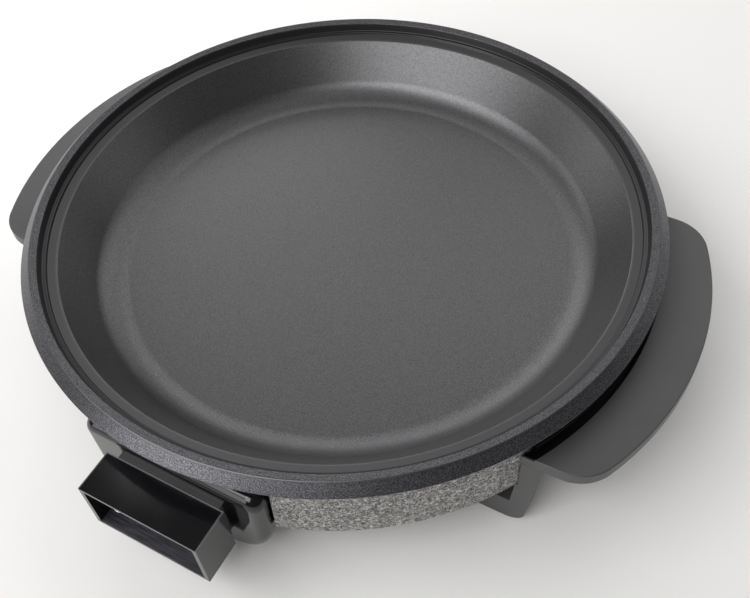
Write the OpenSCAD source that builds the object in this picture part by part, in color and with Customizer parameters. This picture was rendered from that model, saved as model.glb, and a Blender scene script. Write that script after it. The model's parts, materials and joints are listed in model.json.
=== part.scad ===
// Electric skillet: a round lift-off pan on a legged heater base with a plug-in inlet.
// Frame: origin on the table under the pan's axis, +Z up, inlet towards -Y, handles on +X and -X.
// All sizes are in millimetres.

/* [Pan] */
// Outermost diameter of the pan, at the lower edge of its rim
pan_d = 400; // [360:1:440]
// Height from the cooking floor to the top of the rim
pan_depth = 43; // [40:0.5:52]
// Width of the sloped wall, from its top in to the floor
wall_run = 24; // [22:0.5:28]
// Thickness of the cast wall and floor
pan_wall = 3.8; // [3.2:0.1:4.5]
// How far the rim's lower edge stands out beyond its upper edge
rim_flare = 7; // [4:0.5:9]
// Height of the rim's slanted outer band
rim_band = 6.8; // [5:0.1:7.6]
// Thickness of the rim where it stands over the base
rim_t = 8.5; // [8.2:0.1:10]
// Width of the flat lip on top of the rim
lip_w = 4.6; // [3:0.1:6]
// Fall of the lip towards the inside
lip_fall = 1.4; // [0.6:0.1:2]
// Depth of the step that a lid drops into
lid_step = 6.5; // [5:0.1:7]
// Width of the flat seat at the foot of the lid step
lid_seat_w = 2.3; // [1.8:0.1:3]
// Small step down from the lid seat to the ledge inside it
ledge_step = 1.5; // [1:0.1:2]
// Width of the ledge between that step and the wall
ledge_w = 5.6; // [4.5:0.1:6.5]
// Fall of the ledge towards the wall
ledge_fall = 1.6; // [1:0.1:2.2]
// Thickness of the casting under the ledge
ledge_t = 3.5; // [3:0.1:4]
// Radius where the wall turns into the floor
floor_fillet = 24; // [12:1:34]

/* [Base ring] */
// Height of the ring's lower edge above the table
ring_z = 43; // [40:0.5:55]
// Height of the ring
ring_h = 48.5; // [48:0.5:56]
// Inset of the ring behind the rim's outer edge
ring_inset = 7; // [5:0.5:9]
// Thickness of the ring's sheet
ring_t = 1.2; // [0.8:0.1:1.6]
// Width of the flange turned in at the ring's foot
ring_flange = 30; // [24:1:32]
// Thickness of the soft edging on top of the ring
gasket_t = 0.7; // [0.5:0.1:1]
// Height of the soft edging's two sides
gasket_h = 3.5; // [2:0.5:6]
// Gap under the pan at rest, over the edging and the heater plate
pan_gap = 0.3; // [0.2:0.05:0.4]

/* [Bottom] */
// Width of the bottom plate's flat shelf, from the ring in to the dish
shelf_w = 43; // [41:0.5:46]
// Height of the heater plate above the dish's floor
under_heater = 13.9; // [13.6:0.1:14.4]
// Thickness of the bottom plate
bottom_t = 1; // [0.8:0.1:1.4]
// Distance of the ring of vent holes from the dish's edge
vent_inset = 38; // [32:1:44]
// Radius of one vent hole
vent_r = 3; // [2:0.5:4]
// Number of vent holes
vent_count = 24; // [12:4:32]

/* [Heater] */
// Distance of the heater plate's edge from the dish's edge
heater_inset = 16; // [14:0.5:20]
// Thickness of the heater plate
heater_t = 7; // [6.5:0.5:7.5]
// Distance of the element's loop from the heater plate's edge
element_inset = 34; // [30:1:38]
// Diameter of the element's sheath
element_d = 6.6; // [6:0.1:7]
// Half distance between the element's two cold ends
element_end_x = 36; // [34:0.5:38]
// Radius of the bends between the element's loop and its cold ends
element_bend = 10; // [8:0.5:14]
// Distance of the heat reflector's edge from the dish's edge
reflector_inset = 11; // [9:0.5:12.5]
// Thickness of the heat reflector
reflector_t = 0.8; // [0.6:0.1:1]
// Height of the reflector's turned-up edge
reflector_edge = 2.6; // [1.5:0.1:3]
// Height of the reflector above the bottom plate
reflector_lift = 3; // [2.6:0.1:3.2]
// Distance of the heater posts from the heater plate's edge
post_inset = 64; // [56:1:72]
// Radius of a heater post
post_w = 3.4; // [3:0.1:4.2]
// Height of an element clip below the sheath
clip_t = 1.5; // [1:0.1:1.8]
// Width of an element clip
clip_w = 9; // [6:0.5:12]

/* [Handles] */
// Drop of the handle's top below the rim's top
handle_drop = 25; // [22:0.5:30]
// Thickness of the handle plate
handle_t = 8; // [6:0.1:9]
// Length of the handle plate along the side of the pan
handle_len = 201; // [180:1:210]
// Reach of the handle beyond the rim's outer edge
handle_reach = 29.5; // [24:0.5:40]
// Radius of the handle's outer edge
handle_edge_r = 196; // [160:1:220]
// Radius of the handle's outer corners
handle_corner = 26; // [16:1:30]
// Width of the bevel around the handle's top
handle_bevel = 1.4; // [0.8:0.1:2]
// Thickness of the handle's wall against the ring
cheek_t = 3.5; // [2.5:0.1:4]
// Distance of the wall's top below the ring's top
cheek_drop = 6; // [5:0.5:10]
// Length of the handle's flange bracket, in degrees round the ring
bracket_angle = 30; // [26:1:36]
// Thickness of the bracket's sheet
bracket_t = 2; // [1.5:0.1:2.4]
// Height of the bracket's top above the handle's underside
bracket_rise = 10; // [8:0.5:12]
// Width of the bracket's foot
bracket_foot = 16; // [13:0.5:17]
// Angle of each handle screw from the handle's middle
handle_screw_angle = 10; // [8:0.5:11]
// Depth of the handle screws in the plate
handle_screw_depth = 14; // [10:1:16]

/* [Legs] */
// Width of a leg, seen from the front
leg_w = 11.8; // [10:0.1:13]
// Thickness of a leg, front to back
leg_t = 14; // [13:0.5:16]
// Lean of a leg towards the middle, from handle to foot
leg_lean = 5.4; // [3:0.1:6.5]
// Height of the toe
toe_h = 20; // [16:0.5:24]
// Distance from the leg's inner edge at the handle to the screw pillar's axis
pillar_in = 20.5; // [19:0.5:23]
// Diameter of the screw pillar
pillar_d = 14; // [13:0.5:15]
// Radius of the foot's outer corner
foot_corner = 12; // [8:0.5:14]
// Radius of the leg's outer upright corner
leg_corner = 5; // [3:0.5:5.5]
// Diameter of a foot pad
pad_d = 10; // [8:0.5:11]
// Thickness of a foot pad
pad_t = 3; // [2.5:0.1:4]
// How far a foot pad stands out of the leg
pad_proud = 1; // [0.6:0.1:1.4]
// Diameter of the peg that locates a leg in its handle
peg_d = 4; // [3.5:0.1:4.4]
// Length of the peg
peg_h = 3.5; // [3:0.1:4]

/* [Inlet housing] */
// Width of the housing at its top
housing_w = 118; // [114:1:120]
// How much each side of the housing draws in down to the foot
housing_draft = 2; // [0:0.5:4]
// Drop of the housing's top below the rim's top
housing_drop = 21; // [19:0.5:22.5]
// Depth of the housing below the pins' axes
housing_under = 31.5; // [30.5:0.5:33]
// Depth of the housing, front to back
housing_depth = 43; // [42:0.5:43.5]
// Wall of the housing
housing_wall = 3; // [2.5:0.1:3.5]
// Radius of the housing's upper corners
housing_top_corner = 9; // [6:0.5:10]
// Radius of the housing's lower corners
housing_foot_corner = 28; // [22:1:30]
// Radius of the housing's front edges
housing_round = 7; // [4:0.5:7.5]
// Width of each ear that holds the housing down
ear_w = 13; // [12:0.5:14]
// Thickness of the ears and of the cover
ear_t = 3; // [2.5:0.1:4]
// Width of the ledges that the cover is screwed to
cover_ledge = 6; // [5.8:0.1:7]

/* [Inlet shroud] */
// Width of the shroud
shroud_w = 78; // [76:0.5:84]
// Height of the shroud
shroud_h = 39; // [36:0.5:42]
// Length of the shroud
shroud_len = 25; // [24:0.5:32]
// Upper and lower wall of the shroud
shroud_wall = 2.2; // [1.8:0.1:2.8]
// Side walls of the shroud
shroud_side = 3; // [2.2:0.1:3.4]
// Height of the shroud's middle above the pins
shroud_rise = 2.2; // [1:0.1:3]
// Clearance of the housing under the pan's wall
roof_gap = 2; // [1.5:0.1:2.5]
// Length of the narrow neck behind the shroud
neck_len = 4; // [3:0.5:6]
// Distance from the earth pin's axis to the side of the neck
neck_edge = 10.2; // [9.7:0.1:11.2]
// Height of the neck
neck_h = 30; // [28:0.5:32]
// Side wall of the neck
neck_side = 5; // [4.5:0.1:5.4]
// Distance of the inlet screws from the neck's upper and lower side
inlet_screw_inset = 7; // [6.5:0.5:9]

/* [Contacts] */
// Distance between neighbouring contacts
pin_pitch = 14; // [13:0.5:14.5]
// Place of the earth pin left of the middle
earth_x = 23.8; // [23:0.1:24.4]
// Diameter of the pins
pin_d = 4.8; // [4:0.1:5.2]
// Diameter of the pins where they pass through the block
pin_seat_d = 5.6; // [5.4:0.1:6]
// Distance of the earth pin's tip behind the shroud's mouth
earth_recess = 5; // [3:0.5:6]
// How much shorter the line and neutral pins are
pin_step = 5; // [3:0.5:7]
// Diameter of the hollow in a pin's tip
pin_hollow = 2.4; // [1.6:0.1:2.8]
// Depth of the hollow in a pin's tip
pin_hollow_depth = 4; // [2:0.5:6]
// Bore of the probe sleeve
probe_bore = 8.6; // [8:0.1:9]
// Wall of the probe sleeve
sleeve_wall = 1; // [0.8:0.1:1.2]
// Depth of the sleeve's axis below the heater plate
sleeve_drop = 1.4; // [1:0.1:2]
// Length of the sleeve under the heater plate
sleeve_reach = 64; // [58:1:70]
// Distance of the sleeve's clamp from the heater plate's edge
clamp_inset = 30; // [26:1:34]
// Thickness of the flange behind the pin block
block_flange = 3; // [2.5:0.1:3.5]
// Length of the pin block behind its flange
block_tail = 3; // [2:0.5:4]
// Diameter of the nuts on the pins and terminals
nut_d = 8; // [7.4:0.1:8.4]
// Thickness of those nuts
nut_t = 2.4; // [2:0.1:2.8]
// Diameter of a lead
lead_d = 3; // [2.4:0.1:3.4]
// Drop of the line lead below the pins
lead_drop = 21; // [18:0.5:24]
// Thickness of a terminal eye and of the earth strap
eye_t = 0.8; // [0.6:0.1:1]
// Diameter of a terminal eye
eye_d = 9; // [8:0.1:9.6]
// Diameter of the thermal fuse
fuse_d = 6; // [5:0.1:7]
// Length of the thermal fuse
fuse_len = 14; // [12:0.5:16]
// Place of the thermal fuse left of the probe's axis
fuse_aside = 10; // [8:0.5:12]
// Thickness of the terminal shield
shield_t = 1; // [0.8:0.1:1.4]

/* [Screws and fits] */
// Diameter of the machine screws
screw_d = 4; // [3.5:0.1:4.4]
// Diameter of the machine screws' heads
head_d = 8; // [7:0.1:8.6]
// Height of the machine screws' heads
head_t = 2.4; // [2:0.1:2.6]
// Diameter of the small screws
small_d = 2.8; // [2.4:0.1:3]
// Diameter of the small screws' heads
small_head_d = 5; // [4.4:0.1:5.4]
// Height of the small screws' heads
small_head_t = 1.4; // [1.2:0.1:1.6]
// Radial clearance of screws, pins and sleeves in their holes
fit = 0.05; // [0.03:0.01:0.08]
// Gap between neighbouring pieces that don't touch
gap = 0.3; // [0.2:0.05:0.5]
// Clearance around the inlet housing where it passes the ring
slot_gap = 1.5; // [1:0.1:2]

/* [Hidden] */

$fn = 96;
hull_fn = 32;
eps = 0.02;

// Radii and heights of the pan and ring
rim_r = pan_d / 2;
rim_top_r = rim_r - rim_flare;
lip_in_r = rim_top_r - lip_w;
step_draft = 1.4;
seat_r = lip_in_r - step_draft;
seat_in_r = seat_r - lid_seat_w;
ledge_draft = 0.6;
ledge_nose = 0.8;
ledge_r = seat_in_r - ledge_draft;
ledge_z = lid_step + ledge_step;
wall_top_r = ledge_r - ledge_w;
wall_top_z = ledge_z + ledge_fall;
ledge_under = ledge_z + ledge_t;
floor_r = wall_top_r - wall_run;
wall_angle = atan2(pan_depth - wall_top_z, wall_run);
fillet_foot_r = floor_r - floor_fillet * tan(wall_angle / 2);
ring_r = rim_r - ring_inset;
ring_in_r = ring_r - ring_t;
ring_top = ring_z + ring_h;
pan_top = ring_top + gasket_t + pan_gap + rim_t;
pan_foot = pan_top - pan_depth - pan_wall;

// Bottom plate and heater heights
flange_z = ring_z + ring_t;
bottom_top = flange_z + bottom_t;
flange_cut = 6 * (ring_t + bottom_t);
dish_r = ring_r - shelf_w;
vent_ring_r = dish_r - vent_inset;
dish_lean = 2.5;
reflector_r = dish_r - reflector_inset;
heater_r = dish_r - heater_inset;
element_r = heater_r - element_inset;
post_r = heater_r - post_inset;
heater_top = pan_foot - pan_gap;
heater_z = heater_top - heater_t;
dish_floor = heater_z - under_heater;
dish_z = dish_floor - bottom_t;
reflector_z = dish_floor + reflector_lift;
element_rise = 0.5;
swage = 0.03;
element_z = heater_z + element_rise;
bend_x = element_end_x + element_bend;
end_angle = asin(bend_x / (element_r + element_bend));
bend_y = -(element_r + element_bend) * cos(end_angle);
post_angles = [45, 135, 225, 315];
clip_angles = [0, 90, 180];

// Handle heights and outline
handle_top = pan_top - handle_drop;
handle_z = handle_top - handle_t;
handle_out = rim_r + handle_reach;
cheek_r = ring_r + gap;
cheek_top = ring_top - cheek_drop;
cheek_angle = asin((handle_len / 2 - cheek_t) / (cheek_r + cheek_t));
bracket_r = ring_in_r - fit;

// Legs: measured at the front face, where the leg meets the ring
leg_y = handle_len / 2;
leg_x = sqrt(pow(cheek_r, 2) - pow(leg_y, 2)) + 2 * gap;
pillar_x = leg_x - pillar_in;
pillar_y = leg_y - leg_t / 2;
toe_top = pad_proud + toe_h;
pad_x = leg_x - leg_lean + 0.4;
peg_x = leg_x + leg_w - peg_d / 2 - 2.4;
peg_y = leg_y - leg_t / 2;
head_seat_z = toe_top + 6;
leg_nut_t = 3;

// Inlet: lengths are measured along Y from the housing's front face at -ring_r
front_y = -ring_r;
back_y = front_y + housing_depth;
notch_y = back_y + shield_t + gap;
housing_top = pan_top - housing_drop;
housing_foot_w = housing_w - 2 * housing_draft;
pin_z = heater_z - sleeve_drop;
housing_lift = pin_z - housing_under;
housing_h = housing_top - housing_lift;
shroud_z = pin_z + shroud_rise;
neck_w = 2 * (earth_x + neck_edge);
neck_y = front_y - neck_len;
mouth_y = neck_y - shroud_len;
face_y = neck_y - shroud_wall - gap;
flange_y = front_y + housing_wall;
tail_y = flange_y + block_flange + block_tail;
block_w = neck_w - 2 * neck_side - 2 * gap;
block_h = neck_h - 2 * shroud_wall - 2 * gap;
inlet_screw_x = neck_w / 2 - neck_side / 2;
inlet_screw_z = neck_h / 2 - inlet_screw_inset;
inlet_screw_l = block_flange + housing_wall + neck_len;
probe_x = pin_pitch - earth_x;
line_x = 2 * pin_pitch - earth_x;
neutral_x = 3 * pin_pitch - earth_x;
sleeve_r = probe_bore / 2 + sleeve_wall;
sleeve_end = heater_r - sleeve_reach;
earth_tip = mouth_y + earth_recess;
short_tip = earth_tip + pin_step;
collar_t = 1.6;
eye_y = tail_y + collar_t;
nut_y = eye_y + eye_t;
pin_end = nut_y + nut_t + 1;
stud_r = 2;
stud_y = eye_y - 2;
cold_y = nut_y + nut_t + 3;
cover_z = housing_lift + housing_wall + fit;
cover_half = housing_foot_w / 2 - housing_foot_corner - 1;
ear_z = bottom_top;
ear_y = back_y;
ear_len = 14;
ear_in = housing_half(ear_z) - housing_wall;
ear_x = housing_half(ear_z) + ear_w / 2;
ear_span = housing_wall + ear_w;
lead_z = pin_z - lead_drop;
crimp = 0.4;
fuse_x = probe_x - fuse_aside;
strap_w = 8;
strap_z = pin_z + nut_d / 2 + 1;
strap_y = back_y + shield_t + 5;
strap_foot = 12;
clamp_len = 25;
clamp_y = clamp_inset - heater_r;
clamp_w = 26;
clamp_z = pin_z - sleeve_r - 1.6;
clamp_screw_x = 10;
bush_len = 10;
bush_r = element_d / 2 + 1.6;
window_half = element_end_x + bush_r + 1;
window_z = pin_z - sleeve_r - 1;
window_top = pan_foot - 1.2;
shield_half = window_half + 6;
shield_z = window_z - 3;
shield_top = pan_foot;
shield_cut = 3 * (housing_wall + shield_t);

// Half width of the inlet housing at height z
function housing_half(z) = housing_foot_w / 2 + housing_draft * (z - housing_lift) / housing_h;

// Points on an arc about (x, y)
function arc(x, y, r, a0, a1, n = 8) =
    [for (i = [0:n]) let (a = a0 + (a1 - a0) * i / n) [x + r * cos(a), y + r * sin(a)]];

// Half section of the pan, from the middle of the floor out and back under the rim
function pan_section() = concat(
    [[0, -pan_depth]],
    arc(fillet_foot_r, floor_fillet - pan_depth, floor_fillet, -90, wall_angle - 90, 10),
    [[wall_top_r - ledge_nose, -wall_top_z - ledge_nose * tan(wall_angle)]],
    [[wall_top_r + ledge_nose, -wall_top_z + ledge_nose * ledge_fall / ledge_w]],
    [[ledge_r - 0.5, -ledge_z], [ledge_r, 0.4 - ledge_z]],
    [[seat_in_r - 0.2, -lid_step - 0.4], [seat_in_r + 0.3, -lid_step]],
    [[seat_r - 0.6, -lid_step], [seat_r, 0.6 - lid_step]],
    [[lip_in_r - 0.4, -lip_fall - 0.5], [lip_in_r + 0.5, -lip_fall]],
    [[rim_top_r - 1.2, -0.1], [rim_top_r - 0.3, -0.25], [rim_top_r + 0.4, -0.9]],
    [[rim_r - 0.3, 0.5 - rim_band], [rim_r, -rim_band], [rim_r - 1, -rim_band - 0.4]],
    [[ring_r + 2 * gasket_t + 1, -rim_t], [lip_in_r, -rim_t]],
    [[lip_in_r - 1, -ledge_under], [under_r(-ledge_under), -ledge_under]],
    arc(fillet_foot_r, floor_fillet - pan_depth, floor_fillet + pan_wall,
        wall_angle - 90, -90, 10),
    [[0, -pan_depth - pan_wall]]);

// Radius of the pan's outer wall at height z below the rim's top
function under_r(z) =
    wall_top_r + (pan_wall / sin(wall_angle)) + (z + wall_top_z) / tan(wall_angle);

module pan() {
    color("#2b2b2d") translate([0, 0, pan_top]) rotate_extrude() polygon(pan_section());
}

// Space of the pan's underside at rest, grown by c on all sides
module pan_space(c) {
    translate([0, 0, pan_top]) rotate_extrude() polygon(concat(
        [[0, 0], [0, -pan_depth - pan_wall - c]],
        arc(fillet_foot_r, floor_fillet - pan_depth, floor_fillet + pan_wall + c,
            -90, wall_angle - 90, 10),
        [[under_r(-ledge_under - c) + c / sin(wall_angle), -ledge_under - c]],
        [[lip_in_r + c, -ledge_under - c], [lip_in_r + c, 0]]));
}

// Space that the inlet housing takes where it passes through the base
module inlet_slot(extra = slot_gap) {
    rotate([90, 0, 0]) translate([0, 0, -notch_y])
        linear_extrude(ring_r) polygon([
            [-housing_half(0) - extra, -1],
            [-housing_half(housing_top) - extra, housing_top + extra],
            [housing_half(housing_top) + extra, housing_top + extra],
            [housing_half(0) + extra, -1]]);
}

// One screw: head below, shank along +Z from the head's seat at the origin
module screw(d, len, head, head_h) {
    translate([0, 0, -head_h]) cylinder(d = head, h = head_h);
    translate([0, 0, -eps]) cylinder(d = d, h = len + eps);
}

// Places of the four legs as signs of X and Y
leg_signs = [[1, -1], [1, 1], [-1, -1], [-1, 1]];

// Holes of the leg screws and housing screws in the two flanges
module flange_holes() {
    for (s = leg_signs) translate([s[0] * pillar_x, s[1] * pillar_y, flange_z])
        cylinder(d = screw_d + 2 * fit, h = flange_cut, center = true);
    for (s = [-1, 1]) translate([s * ear_x, ear_y - ear_len / 2, flange_z])
        cylinder(d = screw_d + 2 * fit, h = flange_cut, center = true);
}

module body_ring() {
    color("#8c8b88") difference() {
        rotate_extrude() polygon([
            [ring_r - ring_flange, ring_z], [ring_r - 1, ring_z], [ring_r, ring_z + 1],
            [ring_r, ring_top], [ring_in_r, ring_top], [ring_in_r, flange_z],
            [ring_r - ring_flange, flange_z]]);
        inlet_slot();
        flange_holes();
        for (side = [0, 180]) for (s = [-1, 1]) rotate([0, 0, side + s * handle_screw_angle])
            translate([ring_r - 2 * ring_t, 0, handle_z + handle_t / 2]) rotate([0, 90, 0])
                cylinder(d = screw_d + 2 * fit, h = 4 * ring_t);
    }
}

module ring_gasket() {
    color("#1c1c1c") rotate_extrude() polygon([
        [ring_in_r - fit - gasket_t, ring_top - gasket_h], [ring_in_r - fit, ring_top - gasket_h],
        [ring_in_r - fit, ring_top], [ring_r + fit, ring_top],
        [ring_r + fit, ring_top - gasket_h], [ring_r + fit + gasket_t, ring_top - gasket_h],
        [ring_r + fit + gasket_t, ring_top + gasket_t],
        [ring_in_r - fit - gasket_t, ring_top + gasket_t]]);
}

module bottom_plate() {
    color("#b4b6b8") difference() {
        rotate_extrude() polygon([
            [0, dish_z], [dish_r, dish_z], [dish_r + dish_lean, flange_z],
            [ring_in_r - gap, flange_z], [ring_in_r - gap, bottom_top],
            [dish_r + dish_lean - bottom_t, bottom_top], [dish_r - bottom_t, dish_floor],
            [0, dish_floor]]);
        inlet_slot();
        // room for the shield and the element's bushes above the dish's floor
        translate([-shield_half - gap, back_y - 1, shield_z - gap])
            cube([2 * shield_half + 2 * gap, 1 + shield_t + bush_len / 2 + gap,
                bottom_top + gap - shield_z]);
        flange_holes();
        for (i = [0:vent_count - 1]) rotate([0, 0, (i + 0.5) * 360 / vent_count])
            translate([vent_ring_r, 0, dish_z - 1]) cylinder(r = vent_r, h = bottom_t + 2);
        for (a = post_angles) rotate([0, 0, a]) translate([post_r, 0, dish_z - 1])
            cylinder(d = screw_d + 2 * fit, h = bottom_t + 2);
        translate([-earth_x, strap_y + strap_foot / 2, dish_z - 1])
            cylinder(d = small_d + 2 * fit, h = bottom_t + 2);
    }
}

module heat_reflector() {
    color("#d0d2d4") difference() {
        rotate_extrude() polygon([
            [0, reflector_z], [reflector_r, reflector_z],
            [reflector_r, reflector_z + reflector_t + reflector_edge],
            [reflector_r - reflector_t, reflector_z + reflector_t + reflector_edge],
            [reflector_r - reflector_t, reflector_z + reflector_t],
            [0, reflector_z + reflector_t]]);
        for (a = post_angles) rotate([0, 0, a]) translate([post_r, 0, reflector_z - 1])
            cylinder(r = post_w + 2 * fit, h = reflector_t + 2);
    }
}

// The element's path: an open loop, and two bends into straight ends towards the inlet
module element_path(r) {
    rotate([0, 0, end_angle - 90]) rotate_extrude(angle = 360 - 2 * end_angle)
        translate([element_r, 0]) circle(r = r);
    for (s = [-1, 1]) {
        translate([s * bend_x, bend_y, 0]) rotate([0, 0, s > 0 ? 90 + end_angle : 0])
            rotate_extrude(angle = 90 - end_angle) translate([element_bend, 0]) circle(r = r);
        translate([s * element_end_x, bend_y, 0]) rotate([90, 0, 0])
            cylinder(r = r, h = bend_y - cold_y);
        // swaged joints at both ends of each bend
        rotate([0, 0, s * end_angle]) translate([0, -element_r, 0]) rotate([0, 90, 0])
            cylinder(r = r + swage, h = 0.8, center = true);
        translate([s * element_end_x, bend_y, 0]) rotate([90, 0, 0])
            cylinder(r = r + swage, h = 0.8, center = true);
    }
}

module heater_plate() {
    color("#a9abad") difference() {
        translate([0, 0, heater_z]) cylinder(r = heater_r, h = heater_t, $fn = 180);
        translate([0, 0, element_z]) element_path(element_d / 2 + fit);
        translate([probe_x, -sleeve_end + 1, pin_z]) rotate([90, 0, 0])
            cylinder(r = sleeve_r + fit, h = heater_r);
        for (a = post_angles) rotate([0, 0, a]) translate([post_r, 0, heater_z - 1])
            cylinder(d = screw_d + 2 * fit, h = heater_t / 2 + 1);
        for (s = [-1, 1]) translate([probe_x + s * clamp_screw_x, clamp_y, heater_z - 1])
            cylinder(d = small_d + 2 * fit, h = heater_t / 2 + 1);
    }
}

module heater_posts() {
    color("#9a9c9e") for (a = post_angles) rotate([0, 0, a]) translate([post_r, 0, 0])
        difference() {
            union() {
                translate([0, 0, dish_floor]) cylinder(r = post_w + 1.6, h = reflector_lift);
                translate([0, 0, dish_floor]) cylinder(r = post_w, h = heater_z - dish_floor);
            }
            translate([0, 0, dish_floor - 1])
                cylinder(d = screw_d + 2 * fit, h = heater_z - dish_floor + 2);
        }
}

module heater_screws() {
    color("#c8c9ca") for (a = post_angles) rotate([0, 0, a]) translate([post_r, 0, dish_z])
        screw(screw_d, heater_z + heater_t / 2 - 0.5 - dish_z, head_d, head_t);
}

module heating_element() {
    color("#77797c") translate([0, 0, element_z]) {
        element_path(element_d / 2);
        for (s = [-1, 1]) translate([s * element_end_x, cold_y + eps, 0]) rotate([90, 0, 0])
            cylinder(r = stud_r, h = cold_y - stud_y + eps);
    }
}

module element_clips() {
    clip_z = element_z - element_d / 2 - fit - clip_t;
    reach = element_d / 2 + 5;
    color("#bfc1c3") for (a = clip_angles) rotate([0, 0, a]) translate([element_r, 0, 0]) {
        translate([-reach, -clip_w / 2, clip_z]) cube([2 * reach, clip_w, clip_t]);
        for (s = [-1, 1]) translate([s * (reach - 1.5) - 1.5, -clip_w / 2, clip_z + clip_t - eps])
            cube([3, clip_w, heater_z - clip_z - clip_t + eps]);
    }
}

module element_bushes() {
    color("#e8e4da") for (s = [-1, 1])
        translate([s * element_end_x, back_y + shield_t + bush_len / 2, element_z])
            rotate([90, 0, 0]) difference() {
                cylinder(r = bush_r, h = bush_len);
                translate([0, 0, -1]) cylinder(r = element_d / 2 + fit, h = bush_len + 2);
            }
}

module probe_sleeve() {
    color("#b8a36a") translate([probe_x, -sleeve_end, pin_z]) rotate([90, 0, 0]) difference() {
        cylinder(r = sleeve_r, h = -sleeve_end - face_y);
        translate([0, 0, -1]) cylinder(d = probe_bore, h = -sleeve_end - face_y + 2);
    }
}

module probe_clamp() {
    color("#9fa1a3") difference() {
        translate([probe_x - clamp_w / 2, clamp_y - clamp_len / 2, clamp_z])
            cube([clamp_w, clamp_len, heater_z - clamp_z]);
        translate([probe_x, clamp_y + clamp_len, pin_z]) rotate([90, 0, 0])
            cylinder(r = sleeve_r + fit, h = 2 * clamp_len);
        for (s = [-1, 1]) translate([probe_x + s * clamp_screw_x, clamp_y, clamp_z - 1])
            cylinder(d = small_d + 2 * fit, h = heater_z - clamp_z + 2);
    }
}

module clamp_screws() {
    color("#c8c9ca") for (s = [-1, 1]) translate([probe_x + s * clamp_screw_x, clamp_y, clamp_z])
        screw(small_d, heater_z + heater_t / 2 - 0.5 - clamp_z, small_head_d, small_head_t);
}

// One contact pin from its tip at y = tip to its threaded end inside the housing
module contact(x, tip) {
    color("#d6d3c8") translate([x, 0, pin_z]) difference() {
        union() {
            translate([0, tip, 0]) rotate([-90, 0, 0]) cylinder(d = pin_d, h = pin_end - tip);
            translate([0, face_y, 0]) rotate([-90, 0, 0])
                cylinder(d = pin_seat_d, h = tail_y + collar_t / 2 - face_y);
            translate([0, tail_y, 0]) rotate([-90, 0, 0]) cylinder(d = nut_d, h = collar_t);
        }
        translate([0, tip - 1, 0]) rotate([-90, 0, 0])
            cylinder(d = pin_hollow, h = pin_hollow_depth + 1);
    }
}

module earth_pin() { contact(-earth_x, earth_tip); }

module line_pin() { contact(line_x, short_tip); }

module neutral_pin() { contact(neutral_x, short_tip); }

module contact_nuts() {
    color("#c9b878") {
        for (x = [-earth_x, line_x, neutral_x]) translate([x, nut_y, pin_z])
            rotate([-90, 0, 0]) nut(pin_d);
        for (s = [-1, 1]) translate([s * element_end_x, nut_y, element_z])
            rotate([-90, 0, 0]) nut(2 * stud_r);
    }
}

module nut(d) {
    difference() {
        cylinder(d = nut_d, h = nut_t, $fn = 6);
        translate([0, 0, -1]) cylinder(d = d + 2 * fit, h = nut_t + 2);
    }
}

module pin_block() {
    color("#3a332c") difference() {
        union() {
            translate([-block_w / 2, face_y, shroud_z - block_h / 2])
                cube([block_w, tail_y - face_y, block_h]);
            translate([-neck_w / 2, flange_y, shroud_z - neck_h / 2])
                cube([neck_w, block_flange, neck_h]);
        }
        for (x = [-earth_x, line_x, neutral_x]) translate([x, face_y - 1, pin_z])
            rotate([-90, 0, 0]) cylinder(d = pin_seat_d + 2 * fit, h = tail_y - face_y + 2);
        translate([probe_x, face_y - 1, pin_z]) rotate([-90, 0, 0])
            cylinder(r = sleeve_r + fit, h = tail_y - face_y + 2);
        inlet_screw_places() cylinder(d = small_d + 2 * fit, h = 2 * inlet_screw_l, center = true);
    }
}

// Four screw places around the pin block, with Z along +Y there
module inlet_screw_places() {
    for (sx = [-1, 1]) for (sz = [-1, 1])
        translate([sx * inlet_screw_x, flange_y + block_flange, shroud_z + sz * inlet_screw_z])
            rotate([90, 0, 0]) children();
}

module inlet_screws() {
    color("#c8c9ca") inlet_screw_places()
        screw(small_d, inlet_screw_l - 0.5, small_head_d, small_head_t);
}

// Front view of the housing, drawn in by d on every side
module housing_front(d) {
    top = housing_top - d;
    foot = housing_lift + d;
    r1 = housing_top_corner - d / 2;
    r2 = housing_foot_corner - d / 2;
    hull() for (s = [-1, 1]) {
        translate([s * (housing_half(top - r1) - d - r1), top - r1])
            circle(r = r1, $fn = hull_fn);
        translate([s * (housing_half(foot + r2) - d - r2), foot + r2])
            circle(r = r2, $fn = hull_fn);
    }
}

module housing_slice(y0, y1, d) {
    translate([0, y1, 0]) rotate([90, 0, 0]) linear_extrude(y1 - y0) housing_front(d);
}

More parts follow.
